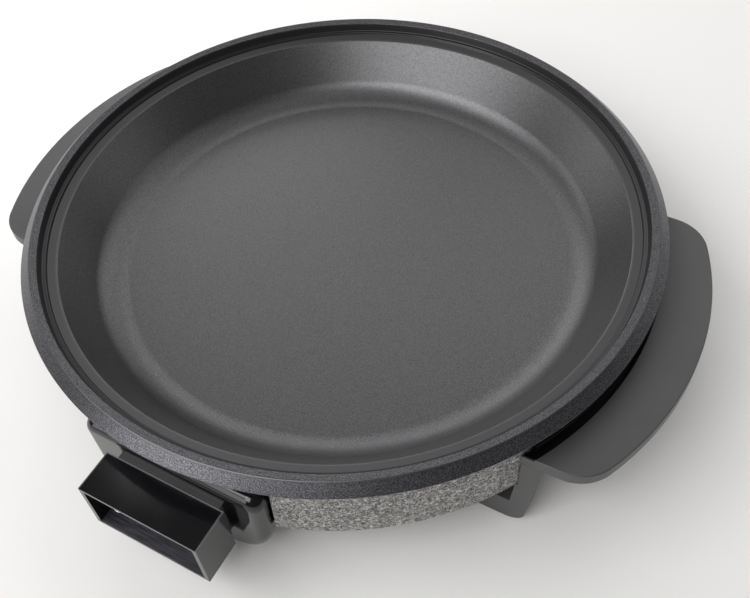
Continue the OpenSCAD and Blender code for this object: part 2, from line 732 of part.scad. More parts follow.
module inlet_housing() {
    color("#0c0c0d") difference() {
        union() {
            // slices that round the front's edges
            hull() for (a = [0:18:90])
                housing_slice(front_y + housing_round * (1 - sin(a)), back_y,
                    housing_round * (1 - cos(a)));
            for (s = [-1, 1])
                translate([s * (ear_in + ear_span / 2) - ear_span / 2, ear_y - ear_len, ear_z])
                    cube([ear_span, ear_len, ear_t]);
        }
        pan_space(roof_gap);
        difference() {
            housing_slice(flange_y, back_y - housing_wall, housing_wall);
            pan_space(roof_gap + housing_wall);
        }
        // open at the foot, and at the back towards the heater
        translate([-cover_half + cover_ledge, flange_y, 0])
            cube([2 * cover_half - 2 * cover_ledge, housing_depth - 2 * housing_wall,
                housing_lift + housing_wall + 1]);
        cover_screw_places() {
            cylinder(d = small_d + 2 * fit, h = housing_wall, center = true);
            translate([0, 0, -housing_wall]) cylinder(d = small_head_d + 2 * gap, h = housing_wall);
        }
        translate([-window_half, back_y - housing_wall - 1, window_z])
            cube([2 * window_half, housing_wall + 2, window_top - window_z]);
        shield_screw_places() cylinder(d = small_d + 2 * fit, h = shield_cut, center = true);
        translate([-block_w / 2 - gap, front_y - 1, shroud_z - block_h / 2 - gap])
            cube([block_w + 2 * gap, housing_wall + 2, block_h + 2 * gap]);
        inlet_screw_places() cylinder(d = small_d + 2 * fit, h = 2 * inlet_screw_l, center = true);
        for (s = [-1, 1]) translate([s * ear_x, ear_y - ear_len / 2, ear_z - 1])
            cylinder(d = screw_d + 2 * fit, h = ear_t + 2);
    }
}

module inlet_shroud() {
    inner_w = shroud_w - 2 * shroud_side;
    inner_h = shroud_h - 2 * shroud_wall;
    color("#101011") difference() {
        union() {
            translate([-shroud_w / 2, mouth_y, shroud_z - shroud_h / 2])
                cube([shroud_w, shroud_len, shroud_h]);
            translate([-neck_w / 2, neck_y - eps, shroud_z - neck_h / 2])
                cube([neck_w, neck_len + eps, neck_h]);
        }
        translate([-inner_w / 2, mouth_y - 1, shroud_z - inner_h / 2])
            cube([inner_w, shroud_len - shroud_wall + 1, inner_h]);
        translate([-block_w / 2 - gap, mouth_y, shroud_z - block_h / 2 - gap])
            cube([block_w + 2 * gap, shroud_len + neck_len + 1, block_h + 2 * gap]);
        inlet_screw_places() cylinder(d = small_d + 2 * fit, h = 2 * inlet_screw_l, center = true);
    }
}

module housing_cover() {
    color("#161617") difference() {
        translate([-cover_half, flange_y + gap, cover_z])
            cube([2 * cover_half, housing_depth - 2 * housing_wall - 2 * gap, ear_t]);
        cover_screw_places() cylinder(d = small_d + 2 * fit, h = 2 * (housing_wall + ear_t));
    }
}

// Two screw places in the ledges under the cover, at the height of the heads' seats
module cover_screw_places() {
    for (s = [-1, 1]) translate([s * (cover_half - cover_ledge / 2), back_y - housing_depth / 2,
        cover_z - housing_wall / 2]) children();
}

module cover_screws() {
    color("#c8c9ca") cover_screw_places()
        screw(small_d, housing_wall / 2 + ear_t, small_head_d, small_head_t);
}

module housing_screws() {
    color("#c8c9ca") for (s = [-1, 1]) translate([s * ear_x, ear_y - ear_len / 2, ring_z])
        screw(screw_d, ear_z + ear_t - ring_z, head_d, head_t);
}

module terminal_shield() {
    color("#c3c5c7") difference() {
        translate([-shield_half, back_y, shield_z])
            cube([2 * shield_half, shield_t, shield_top - shield_z]);
        for (s = [-1, 1]) translate([s * element_end_x, back_y - 1, element_z])
            rotate([-90, 0, 0]) cylinder(r = bush_r + fit, h = shield_t + 2);
        translate([probe_x, back_y - 1, pin_z]) rotate([-90, 0, 0])
            cylinder(r = sleeve_r + fit, h = shield_t + 2);
        translate([-earth_x - strap_w / 2 - gap, back_y - 1, strap_z - gap])
            cube([strap_w + 2 * gap, shield_t + 2, eye_t + 2 * gap]);
        shield_screw_places() cylinder(d = small_d + 2 * fit, h = shield_cut, center = true);
    }
}

// Two screw places beside the housing's rear window, with Z along -Y there
module shield_screw_places() {
    for (s = [-1, 1]) translate([s * (window_half + 3.2), back_y + shield_t, pin_z])
        rotate([90, 0, 0]) children();
}

module shield_screws() {
    color("#c8c9ca") shield_screw_places()
        screw(small_d, shield_t + housing_wall, small_head_d, small_head_t);
}

// Flat terminal eye around a stud of diameter d, with Z along +Y there
module eye(d) {
    difference() {
        cylinder(d = eye_d, h = eye_t);
        translate([0, 0, -1]) cylinder(d = d + 2 * fit, h = eye_t + 2);
    }
}

module line_lead() {
    y = eye_y + eye_t / 2;
    drop = pin_z - eye_d / 2 - lead_z + crimp;
    rise = element_z - eye_d / 2 - lead_z + crimp;
    color("#a8332a") {
        translate([line_x, eye_y, pin_z]) rotate([-90, 0, 0]) eye(pin_d);
        translate([-element_end_x, eye_y, element_z]) rotate([-90, 0, 0]) eye(2 * stud_r);
        translate([line_x, y, lead_z]) cylinder(d = lead_d, h = drop);
        translate([line_x, y, lead_z]) sphere(d = lead_d);
        translate([fuse_x + fuse_len / 2, y, lead_z]) rotate([0, 90, 0])
            cylinder(d = lead_d, h = line_x - fuse_x - fuse_len / 2);
        translate([-element_end_x, y, lead_z]) cylinder(d = lead_d, h = rise);
        translate([-element_end_x, y, lead_z]) sphere(d = lead_d);
        translate([-element_end_x, y, lead_z]) rotate([0, 90, 0])
            cylinder(d = lead_d, h = fuse_x - fuse_len / 2 + element_end_x);
    }
}

module thermal_fuse() {
    color("#e6e2d8") translate([fuse_x - fuse_len / 2, eye_y + eye_t / 2, lead_z])
        rotate([0, 90, 0]) cylinder(d = fuse_d, h = fuse_len);
}

module neutral_lead() {
    span = element_end_x - neutral_x;
    color("#2f4f8f") difference() {
        union() {
            translate([neutral_x, eye_y, pin_z]) rotate([-90, 0, 0]) cylinder(d = eye_d, h = eye_t);
            translate([element_end_x, eye_y, element_z]) rotate([-90, 0, 0])
                cylinder(d = eye_d, h = eye_t);
            translate([neutral_x, eye_y, pin_z - 2]) cube([span, eye_t, element_z - pin_z + 4]);
        }
        translate([neutral_x, eye_y - 1, pin_z]) rotate([-90, 0, 0])
            cylinder(d = pin_d + 2 * fit, h = eye_t + 2);
        translate([element_end_x, eye_y - 1, element_z]) rotate([-90, 0, 0])
            cylinder(r = stud_r + fit, h = eye_t + 2);
    }
}

module earth_strap() {
    color("#c0a35a") difference() {
        union() {
            translate([-earth_x - strap_w / 2, eye_y, pin_z - 5])
                cube([strap_w, eye_t, strap_z + eye_t - pin_z + 5]);
            translate([-earth_x - strap_w / 2, eye_y, strap_z])
                cube([strap_w, strap_y - eye_y, eye_t]);
            translate([-earth_x - strap_w / 2, strap_y - eye_t, dish_floor])
                cube([strap_w, eye_t, strap_z + eye_t - dish_floor]);
            translate([-earth_x - strap_w / 2, strap_y - eye_t, dish_floor])
                cube([strap_w, strap_foot, eye_t]);
        }
        translate([-earth_x, eye_y - 1, pin_z]) rotate([-90, 0, 0])
            cylinder(d = pin_d + 2 * fit, h = eye_t + 2);
        translate([-earth_x, strap_y + strap_foot / 2, dish_floor - 1])
            cylinder(d = small_d + 2 * fit, h = eye_t + 2);
    }
}

module earth_screw() {
    color("#c8c9ca") translate([-earth_x, strap_y + strap_foot / 2, dish_z])
        screw(small_d, bottom_t + eye_t + 0.6, small_head_d, small_head_t);
}

// Outline of a handle plate on +X, drawn in by d; its inner side is cut by the ring later
module handle_outline(d) {
    r = handle_edge_r - d;
    cx = handle_out - handle_edge_r;
    cr = handle_corner - d;
    half = handle_len / 2 - d;
    cy = half - cr;
    ex = cx + sqrt(pow(r - cr, 2) - pow(cy, 2));
    a = atan2(cy, ex - cx);
    polygon(concat(
        [[0.6 * ring_r, -half]],
        arc(ex, -cy, cr, -90, -a, 6), arc(cx, 0, r, -a, a, 24), arc(ex, cy, cr, a, 90, 6),
        [[0.6 * ring_r, half]]));
}

module handle() {
    color("#1d1d1e") difference() {
        union() {
            hull() {
                translate([0, 0, handle_z]) linear_extrude(handle_t - handle_bevel)
                    handle_outline(0);
                translate([0, 0, handle_z]) linear_extrude(handle_t)
                    handle_outline(handle_bevel);
            }
            rotate([0, 0, -cheek_angle]) rotate_extrude(angle = 2 * cheek_angle)
                translate([cheek_r - 2, handle_z + 2])
                    square([cheek_t + 2, cheek_top - handle_z - 2]);
        }
        cylinder(r = cheek_r, h = pan_top);
        for (s = [-1, 1]) {
            rotate([0, 0, s * handle_screw_angle])
                translate([ring_r - 2, 0, handle_z + handle_t / 2]) rotate([0, 90, 0])
                    cylinder(d = screw_d + 2 * fit, h = handle_screw_depth + 2.5);
            translate([peg_x, s * peg_y, handle_z - 1])
                cylinder(d = peg_d + 2 * fit, h = peg_h + 1.2);
        }
    }
}

module handle_right() { handle(); }

module handle_left() { rotate([0, 0, 180]) handle(); }

// Side view of a leg on +X: post under the handle, toe on the table, pillar under the base
module leg_side() {
    z0 = pad_proud;
    foot_x = leg_x + leg_w - leg_lean;
    pillar_l = pillar_x - pillar_d / 2;
    pillar_r = pillar_x + pillar_d / 2;
    web = leg_x - leg_lean * (handle_z - toe_top) / (handle_z - z0);
    polygon(concat(
        [[leg_x, handle_z], [leg_x + leg_w, handle_z]],
        arc(foot_x - foot_corner, z0 + foot_corner, foot_corner, 0, -90, 8),
        arc(pillar_l + 3, z0 + 3, 3, -90, -180, 4),
        [[pillar_l, ring_z], [pillar_r, ring_z]],
        arc(pillar_r + 3, toe_top + 3, 3, 180, 270, 4),
        [[web, toe_top]]));
}

module leg(sx, sy) {
    color("#1d1d1e") mirror([sx < 0 ? 1 : 0, 0, 0]) mirror([0, sy < 0 ? 1 : 0, 0]) difference() {
        union() {
            intersection() {
                translate([0, leg_y, 0]) rotate([90, 0, 0]) linear_extrude(leg_t) leg_side();
                linear_extrude(handle_z) leg_plan();
            }
            translate([peg_x, peg_y, handle_z - 1]) cylinder(d = peg_d, h = peg_h + 1);
        }
        translate([0, 0, ring_z]) cylinder(r = cheek_r, h = handle_z);
        translate([pillar_x, pillar_y, -1]) cylinder(d = screw_d + 2 * fit, h = ring_z + 2);
        translate([pillar_x, pillar_y, -1]) cylinder(d = head_d + 2 * gap, h = head_seat_z + 1);
        translate([pad_x, pillar_y, -1]) cylinder(d = pad_d + 2 * fit, h = pad_t + 1);
    }
}

// Plan of a leg: square inside, round at the outer upright corners
module leg_plan() {
    out_x = leg_x + leg_w;
    in_y = leg_y - leg_t;
    r = leg_corner;
    polygon(concat(
        [[0, in_y], [0, leg_y]],
        arc(out_x - r, leg_y - r, r, 90, 0, 6),
        arc(out_x - r, in_y + r, r, 0, -90, 6)));
}

module leg_front_right() { leg(1, -1); }

module leg_rear_right() { leg(1, 1); }

module leg_front_left() { leg(-1, -1); }

module leg_rear_left() { leg(-1, 1); }

// Angled bracket inside the ring that the handle's screws pass through
module handle_bracket() {
    top = handle_z + bracket_rise;
    color("#b0b2b4") difference() {
        rotate([0, 0, -bracket_angle / 2]) rotate_extrude(angle = bracket_angle) polygon([
            [bracket_r - bracket_foot, bottom_top], [bracket_r, bottom_top], [bracket_r, top],
            [bracket_r - bracket_t, top], [bracket_r - bracket_t, bottom_top + bracket_t],
            [bracket_r - bracket_foot, bottom_top + bracket_t]]);
        for (s = [-1, 1]) rotate([0, 0, s * handle_screw_angle])
            translate([bracket_r - bracket_foot, 0, handle_z + handle_t / 2]) rotate([0, 90, 0])
                cylinder(d = screw_d + 2 * fit, h = 2 * bracket_foot);
    }
}

module handle_bracket_right() { handle_bracket(); }

module handle_bracket_left() { rotate([0, 0, 180]) handle_bracket(); }

module handle_screws() {
    seat = bracket_r - bracket_t - fit;
    color("#c8c9ca") for (side = [0, 180]) for (s = [-1, 1])
        rotate([0, 0, side + s * handle_screw_angle])
            translate([seat, 0, handle_z + handle_t / 2]) rotate([0, 90, 0])
                screw(screw_d, ring_r + handle_screw_depth - seat, head_d, head_t);
}

module leg_screws() {
    color("#c8c9ca") for (s = leg_signs)
        translate([s[0] * pillar_x, s[1] * pillar_y, head_seat_z])
            screw(screw_d, bottom_top + leg_nut_t + 1 - head_seat_z, head_d, head_t);
}

module leg_nuts() {
    color("#c9b878") for (s = leg_signs)
        translate([s[0] * pillar_x, s[1] * pillar_y, bottom_top]) difference() {
            cylinder(d = head_d, h = leg_nut_t, $fn = 6);
            translate([0, 0, -1]) cylinder(d = screw_d + 2 * fit, h = leg_nut_t + 2);
        }
}

module foot_pads() {
    color("#2a2a2a") for (s = leg_signs) translate([s[0] * pad_x, s[1] * pillar_y, 0])
        cylinder(d = pad_d, h = pad_t);
}

pan();
body_ring();
ring_gasket();
bottom_plate();
heat_reflector();
heater_plate();
heater_posts();
heater_screws();
heating_element();
element_clips();
element_bushes();
probe_sleeve();
probe_clamp();
clamp_screws();
earth_pin();
line_pin();
neutral_pin();
contact_nuts();
pin_block();
inlet_screws();
inlet_housing();
inlet_shroud();
housing_cover();
cover_screws();
housing_screws();
terminal_shield();
shield_screws();
line_lead();
thermal_fuse();
neutral_lead();
earth_strap();
earth_screw();
handle_right();
handle_left();
leg_front_right();
leg_rear_right();
leg_front_left();
leg_rear_left();
handle_bracket_right();
handle_bracket_left();
handle_screws();
leg_screws();
leg_nuts();
foot_pads();
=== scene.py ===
import json
import math

import bmesh
import bpy
from mathutils import Matrix, Vector


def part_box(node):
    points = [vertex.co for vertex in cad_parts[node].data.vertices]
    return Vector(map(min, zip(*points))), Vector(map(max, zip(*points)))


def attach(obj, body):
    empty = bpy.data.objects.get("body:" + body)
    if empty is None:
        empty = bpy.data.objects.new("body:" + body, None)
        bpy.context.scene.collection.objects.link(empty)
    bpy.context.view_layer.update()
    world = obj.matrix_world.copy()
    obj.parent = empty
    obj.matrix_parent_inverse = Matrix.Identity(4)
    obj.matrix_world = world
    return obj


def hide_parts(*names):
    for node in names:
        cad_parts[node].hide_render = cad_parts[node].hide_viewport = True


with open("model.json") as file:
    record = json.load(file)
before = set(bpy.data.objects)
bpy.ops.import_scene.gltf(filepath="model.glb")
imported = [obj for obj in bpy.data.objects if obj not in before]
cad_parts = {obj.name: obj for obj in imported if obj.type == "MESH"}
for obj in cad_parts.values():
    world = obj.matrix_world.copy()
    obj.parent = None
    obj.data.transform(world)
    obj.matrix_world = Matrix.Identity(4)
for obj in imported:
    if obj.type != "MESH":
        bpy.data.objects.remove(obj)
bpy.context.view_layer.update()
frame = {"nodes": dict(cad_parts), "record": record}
scene = bpy.context.scene
print("frame loaded:", len(frame["nodes"]), "nodes")

cameraView = {
    "lens": 44.0,        # mm on a 36 mm sensor
    "azimuth": 32.0,     # degrees round from the inlet towards the right handle
    "elevation": 51.1,
    "roll": -4.33,
    "distance": 0.5709,  # from the middle of the rim, along the view
    "aside": 0.0207,     # how far the view's axis passes right of that middle
    "above": -0.0609,    # and above it
    "near": 0.01,
}


def addCamera():
    view = cameraView
    az, el, roll = (math.radians(view[k]) for k in ("azimuth", "elevation", "roll"))
    back = Vector((math.sin(az) * math.cos(el), -math.cos(az) * math.cos(el), math.sin(el)))
    flat = Vector((math.cos(az), math.sin(az), 0))
    rise = back.cross(flat)
    right = flat * math.cos(roll) + rise * math.sin(roll)
    up = rise * math.cos(roll) - flat * math.sin(roll)
    middle = Vector((0, 0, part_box("pan")[1].z))
    place = middle + right * view["aside"] + up * view["above"] + back * view["distance"]
    data = bpy.data.cameras.new("camera")
    data.lens = view["lens"]
    data.clip_start = view["near"]
    cam = bpy.data.objects.new("camera", data)
    turn = Matrix((right, up, back)).transposed().to_4x4()
    cam.matrix_world = Matrix.Translation(place) @ turn
    scene.collection.objects.link(cam)
    scene.camera = cam


addCamera()
print("camera placed")

tiny = {
    "weld": 1e-6,        # corners nearer than this become one
    "latheWeld": 1e-7,
    "nodeWeld": 2e-6,
    "pick": 1e-5,        # slack when edges are picked by their place
    "past": 0.001,       # how far a tool solid reaches past what it cuts
}


def meshObject(bm, name):
    bmesh.ops.remove_doubles(bm, verts=bm.verts[:], dist=tiny["weld"])
    bmesh.ops.recalc_face_normals(bm, faces=bm.faces[:])
    mesh = bpy.data.meshes.new(name)
    bm.to_mesh(mesh)
    bm.free()
    piece = bpy.data.objects.new(name, mesh)
    scene.collection.objects.link(piece)
    return piece


# A piece's mesh with its modifiers applied
def meshAsShown(piece):
    shown = piece.evaluated_get(bpy.context.evaluated_depsgraph_get())
    return bpy.data.meshes.new_from_object(shown)


# Lets the large flat faces set the normals of the rounded edges beside them
def weighNormals(piece):
    piece.modifiers.new("weigh", "WEIGHTED_NORMAL").keep_sharp = True
    old, made = piece.data, meshAsShown(piece)
    piece.modifiers.clear()
    piece.data = made
    bpy.data.meshes.remove(old)
    made.name = piece.name


def finishPiece(bm, name, body, slot, node, smoothAngle=32):
    piece = meshObject(bm, name)
    piece.data.shade_smooth()
    piece.data.set_sharp_from_angle(angle=math.radians(smoothAngle))
    weighNormals(piece)
    piece.data.materials.append(materials[slot])
    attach(piece, body)
    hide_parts(node)


# Edges through the given corners; closed joins the last to the first
def outline(bm, corners, closed=True):
    made = [bm.verts.new(c) for c in corners]
    ends = made[1:] + made[:1] if closed else made[1:]
    for a, b in zip(made, ends):
        bm.edges.new((a, b))
    return made


# Rounds corners of an outline with true radii
def roundCorners(bm, rounds, segments):
    for vert, radius in rounds:
        a, b = ((e.other_vert(vert).co - vert.co).normalized() for e in vert.link_edges)
        half = a.angle(b) / 2
        bmesh.ops.bevel(bm, geom=[vert], offset=radius / math.tan(half), affect="VERTICES",
                        segments=segments, profile=0.5, material=-1)


# Turned solid from corners of radius, height and rounding
def turned(corners, steps, segments, closed=False):
    bm = bmesh.new()
    made = outline(bm, [(r, 0, z) for r, z, _ in corners], closed)
    roundCorners(bm, [(v, c[2]) for v, c in zip(made, corners) if c[2] > 0], segments)
    bmesh.ops.spin(bm, geom=bm.verts[:] + bm.edges[:], cent=(0, 0, 0), axis=(0, 0, 1),
                   angle=2 * math.pi, steps=steps, use_merge=True)
    bmesh.ops.remove_doubles(bm, verts=bm.verts[:], dist=tiny["latheWeld"])
    bmesh.ops.recalc_face_normals(bm, faces=bm.faces[:])
    return bm


# Fills an outline and pulls it out to a closed solid
def pullOut(bm, move):
    face = bmesh.ops.contextual_create(bm, geom=bm.edges[:])["faces"]
    sides = bmesh.ops.extrude_face_region(bm, geom=face, use_keep_orig=True)
    moved = [g for g in sides["geom"] if isinstance(g, bmesh.types.BMVert)]
    bmesh.ops.translate(bm, vec=move, verts=moved)
    bmesh.ops.recalc_face_normals(bm, faces=bm.faces[:])


def bevelEdges(bm, edges, width, segments):
    bmesh.ops.bevel(bm, geom=edges, offset=width, offset_type="OFFSET", affect="EDGES",
                    segments=segments, profile=0.5, material=-1, clamp_overlap=True)


# Edges sharper than an angle that also pass a test on both of their ends
def sharpEdges(bm, test=lambda co: True, angle=30):
    bm.normal_update()
    limit = math.radians(angle)
    return [e for e in bm.edges if e.is_manifold and e.calc_face_angle(0) > limit
            and all(test(v.co) for v in e.verts)]


# Joins neighbouring faces that lie flat to each other within an angle
def joinFlatFaces(bm, angle):
    bmesh.ops.dissolve_limit(bm, angle_limit=math.radians(angle), verts=bm.verts[:],
                             edges=bm.edges[:])


# Takes tool solids out of a solid, or joins them to it
def carve(bm, tools, operation="DIFFERENCE"):
    work = meshObject(bm, "work")
    made = [meshObject(tool, "tool") for tool in tools]
    for tool in made:
        cut = work.modifiers.new("cut", "BOOLEAN")
        cut.operation, cut.solver, cut.object = operation, "EXACT", tool
    mesh = meshAsShown(work)
    result = bmesh.new()
    result.from_mesh(mesh)
    bpy.data.meshes.remove(mesh)
    for piece in (work, *made):
        data = piece.data
        bpy.data.objects.remove(piece)
        bpy.data.meshes.remove(data)
    return result


def block(low, high):
    bm = bmesh.new()
    size = Vector(high) - Vector(low)
    bmesh.ops.create_cube(bm, size=1)
    bmesh.ops.scale(bm, vec=size, verts=bm.verts[:])
    bmesh.ops.translate(bm, vec=Vector(low) + size / 2, verts=bm.verts[:])
    return bm


def rod(radius, place, length):
    bm = bmesh.new()
    bmesh.ops.create_cone(bm, cap_ends=True, segments=32, radius1=radius, radius2=radius,
                          depth=length)
    bmesh.ops.transform(bm, matrix=place, verts=bm.verts[:])
    return bm


# Adds one copy of a form at each place
def addCopies(bm, form, places):
    mesh = bpy.data.meshes.new("form")
    form.to_mesh(mesh)
    form.free()
    for place in places:
        count = len(bm.verts)
        bm.from_mesh(mesh)
        bm.verts.ensure_lookup_table()
        bmesh.ops.transform(bm, matrix=place, verts=bm.verts[count:])
    bpy.data.meshes.remove(mesh)


# Copy of a node's own shape with its sharp edges broken
def softenNode(node, name, width, segments=2):
    bm = bmesh.new()
    bm.from_mesh(frame["nodes"][node].data)
    bmesh.ops.remove_doubles(bm, verts=bm.verts[:], dist=tiny["nodeWeld"])
    joinFlatFaces(bm, 0.4)
    bevelEdges(bm, sharpEdges(bm), width, segments)
    finishPiece(bm, name, "base", slotOf[node], node)


# One material and the nodes that are added to it
class nodeSheet:
    def __init__(self, name):
        self.material = bpy.data.materials.new(name)
        self.material.use_nodes = True
        self.tree = self.material.node_tree
        self.shader = self.tree.nodes["Principled BSDF"]
        self.place = self.tree.nodes.new("ShaderNodeTexCoord").outputs["Object"]

    def add(self, kind, values=None, links=None):
        node = self.tree.nodes.new(kind)
        for key, value in (values or {}).items():
            if key in node.inputs:
                node.inputs[key].default_value = value
            else:
                setattr(node, key, value)
        for key, source in (links or {}).items():
            self.tree.links.new(source, node.inputs[key])
        return node

    # Stretches the noise that is made after it
    def stretch(self, scale):
        mapping = self.add("ShaderNodeMapping", {"Scale": scale}, {"Vector": self.place})
        self.place = mapping.outputs["Vector"]

    def noise(self, scale, detail=2.0, roughness=0.5, distortion=0.0):
        values = {"Scale": scale, "Detail": detail, "Roughness": roughness,
                  "Distortion": distortion}
        return self.add("ShaderNodeTexNoise", values, {"Vector": self.place}).outputs["Fac"]

    def ramp(self, source, low, high, lowValue=0.0, highValue=1.0):
        values = {"From Min": low, "From Max": high, "To Min": lowValue, "To Max": highValue}
        return self.add("ShaderNodeMapRange", values, {"Value": source}).outputs["Result"]

    def blend(self, factor, a, b):
        node = self.add("ShaderNodeMix", {"data_type": "RGBA"})
        self.tree.links.new(factor, node.inputs["Factor"])
        for key, colour in (("A", a), ("B", b)):
            socket = [s for s in node.inputs if s.name == key and s.type == "RGBA"][0]
            if isinstance(colour, bpy.types.NodeSocket):
                self.tree.links.new(colour, socket)
            else:
                socket.default_value = (*colour, 1)
        return [s for s in node.outputs if s.type == "RGBA"][0]

    def math(self, operation, *values):
        node = self.add("ShaderNodeMath", {"operation": operation})
        for socket, value in zip(node.inputs, values):
            if isinstance(value, bpy.types.NodeSocket):
                self.tree.links.new(value, socket)
            else:
                socket.default_value = value
        return node.outputs["Value"]

    # One inside a span and nothing outside it, each end fading over its own ramp
    def span(self, source, rise, fall):
        return self.math("MULTIPLY", self.ramp(source, *rise), self.ramp(source, *fall))

    def axes(self):
        return self.add("ShaderNodeSeparateXYZ", links={"Vector": self.place}).outputs

    # Distance from the upright axis
    def radius(self):
        axes = self.axes()
        flat = self.add("ShaderNodeCombineXYZ", links={"X": axes["X"], "Y": axes["Y"]})
        length = self.add("ShaderNodeVectorMath", {"operation": "LENGTH"})
        self.tree.links.new(flat.outputs["Vector"], length.inputs[0])
        return length.outputs["Value"]

    def bump(self, height, strength, distance, under=None):
        links = {"Height": height}
        if under:
            links["Normal"] = under
        values = {"Strength": strength, "Distance": distance}
        return self.add("ShaderNodeBump", values, links).outputs["Normal"]

    def set(self, **sockets):
        names = {"colour": "Base Color", "roughness": "Roughness", "metallic": "Metallic",
                 "normal": "Normal", "specular": "Specular IOR Level"}
        for key, value in sockets.items():
            socket = self.shader.inputs[names[key]]
            if isinstance(value, bpy.types.NodeSocket):
                self.tree.links.new(value, socket)
            else:
                socket.default_value = value
        return self.material


# In all looks: noise is per metre, a spread is the part of the noise that a ramp takes up,
# and pairs of radii or heights are where a ramp begins and ends
panLook = {
    "dark": (0.061, 0.060, 0.062),
    "light": (0.171, 0.169, 0.174),
    # the lip has the band's speckled coating in darker tones: painted shade on its flat top
    "lipDark": (0.035, 0.034, 0.037),
    "lipLight": (0.145, 0.142, 0.152),
    "bandDark": (0.050, 0.049, 0.053),
    "bandLight": (0.215, 0.211, 0.232),
    # painted highlight colour for the rim's top outer edge
    "paintedHighlight": (0.115, 0.115, 0.12),
    "metal": 0.85,
    "roughness": (0.33, 0.35),
    "broad": 9,
    "broadSpread": (0.3, 0.7),
    "grain": 1900,
    "grainSpread": (0.36, 0.64),
    "mottle": 1800,
    "mottleSpread": (0.42, 0.62),
    "bump": 0.35,
    "depth": 0.00018,
    "quietRise": (0.1780, 0.1800),  # the ledge and the lid seat have no grain
    "quietFall": (0.1885, 0.1879),
    "lip": (0.1881, 0.1885),
    "band": (0.1925, 0.1945),
    "highlightRise": (0.1926, 0.1930),   # painted highlight along the line where the band meets the lip
    "highlightFall": (0.1938, 0.1934),
}


def panCoatingMaterial(name, look):
    m = nodeSheet(name)
    radius = m.radius()
    grain = m.noise(look["grain"], 3, 0.7)
    lively = m.math("SUBTRACT", 1.0, m.span(radius, look["quietRise"], look["quietFall"]))
    spots = m.math("MULTIPLY", m.ramp(grain, *look["grainSpread"]), lively)
    mottle = m.ramp(m.noise(look["mottle"], 3, 0.65), *look["mottleSpread"])
    colour = m.blend(spots, look["dark"], look["light"])
    # the lip and the band get one speckled coating; the lip's darker tones are painted shade on its
    # flat top
    for part in ("lip", "band"):
        paint = m.blend(mottle, look[part + "Dark"], look[part + "Light"])
        colour = m.blend(m.ramp(radius, *look[part]), colour, paint)
    # painted highlight: a pale line where the band meets the lip, standing in for light caught on
    # that edge
    paintedHighlight = m.span(radius, look["highlightRise"], look["highlightFall"])
    broad = m.noise(look["broad"])
    return m.set(colour=m.blend(paintedHighlight, colour, look["paintedHighlight"]), metallic=look["metal"],
                 roughness=m.ramp(broad, *look["broadSpread"], *look["roughness"]),
                 normal=m.bump(m.math("MULTIPLY", grain, lively), look["bump"], look["depth"]))


# Wrinkle paint: pale skin parted by fine dark cracks
ringLook = {
    "crackColour": (0.045, 0.043, 0.041),
    "dark": (0.23, 0.222, 0.215),
    "light": (0.68, 0.66, 0.638),
    "metal": 0.4,
    "roughness": 0.36,
    "cracks": 620,
    "crackBend": 1.6,
    "crackSpread": (0.42, 0.54),
    "skin": 430,
    "skinSpread": (0.35, 0.65),
    "skinHeight": 0.6,   # of the cracks' own height
    "bump": 0.8,
    "depth": 0.0004,
}


def ringPaintMaterial(name, look):
    m = nodeSheet(name)
    skin = m.noise(look["skin"], 3, 0.6)
    crack = m.ramp(m.noise(look["cracks"], 2, 0.6, look["crackBend"]), *look["crackSpread"])
    shade = m.blend(m.ramp(skin, *look["skinSpread"]), look["dark"], look["light"])
    height = m.math("ADD", crack, m.math("MULTIPLY", skin, look["skinHeight"]))
    return m.set(colour=m.blend(crack, look["crackColour"], shade), metallic=look["metal"],
                 roughness=look["roughness"], normal=m.bump(height, look["bump"], look["depth"]))


plasticLook = {
    "grain": 3000,
    "broad": 14,
    "tintSpread": (0.35, 0.65),
    "roughSpread": (0.3, 0.7),
    "roughShare": (0.92, 1.08),
    "bump": 0.12,
    "depth": 0.00008,
}


def plasticMaterial(name, colour, roughness, fade=1.3):
    m, look = nodeSheet(name), plasticLook
    grain, broad = m.noise(look["grain"], 3, 0.6), m.noise(look["broad"], 3)
    faded = tuple(min(1, c * fade) for c in colour)
    ends = (min(1, roughness * share) for share in look["roughShare"])
    return m.set(colour=m.blend(m.ramp(broad, *look["tintSpread"]), colour, faded),
                 roughness=m.ramp(broad, *look["roughSpread"], *ends),
                 normal=m.bump(grain, look["bump"], look["depth"]))


# Glossy plastic; the shroud has fine strokes along its inner floor and painted highlights along its
# top edges
glossLook = {
    "colour": (0.005, 0.005, 0.006),
    "strokeColour": (0.064, 0.060, 0.074),
    "paintedHighlight": (0.16, 0.16, 0.165),
    "sideHighlight": 0.7,     # painted highlight of the side edges, as a share of that at the rear
    "specular": 0.62,
    "roughness": (0.09, 0.15),
    "strokeRough": 0.25,
    "broad": 60,
    "broadSpread": (0.3, 0.7),
    "grain": 700,
    "bump": 0.05,
    "depth": 0.00008,
    "strokes": (60, 1500, 60),
    "strokeSpread": (0.35, 0.65),
    "floor": (0.0310, 0.0306),      # just above the shroud's inner floor
    "strokeEnd": (-0.196, -0.197),  # the strokes end at the neck
    "sides": (0.0381, 0.0385),      # painted highlight on the top edges, from the middle plane outwards
    "top": (0.0664, 0.0668),
    "rear": (-0.1979, -0.1975),
    "front": (-0.1965, -0.1968),    # leaves out the housing, which lies behind the neck
}


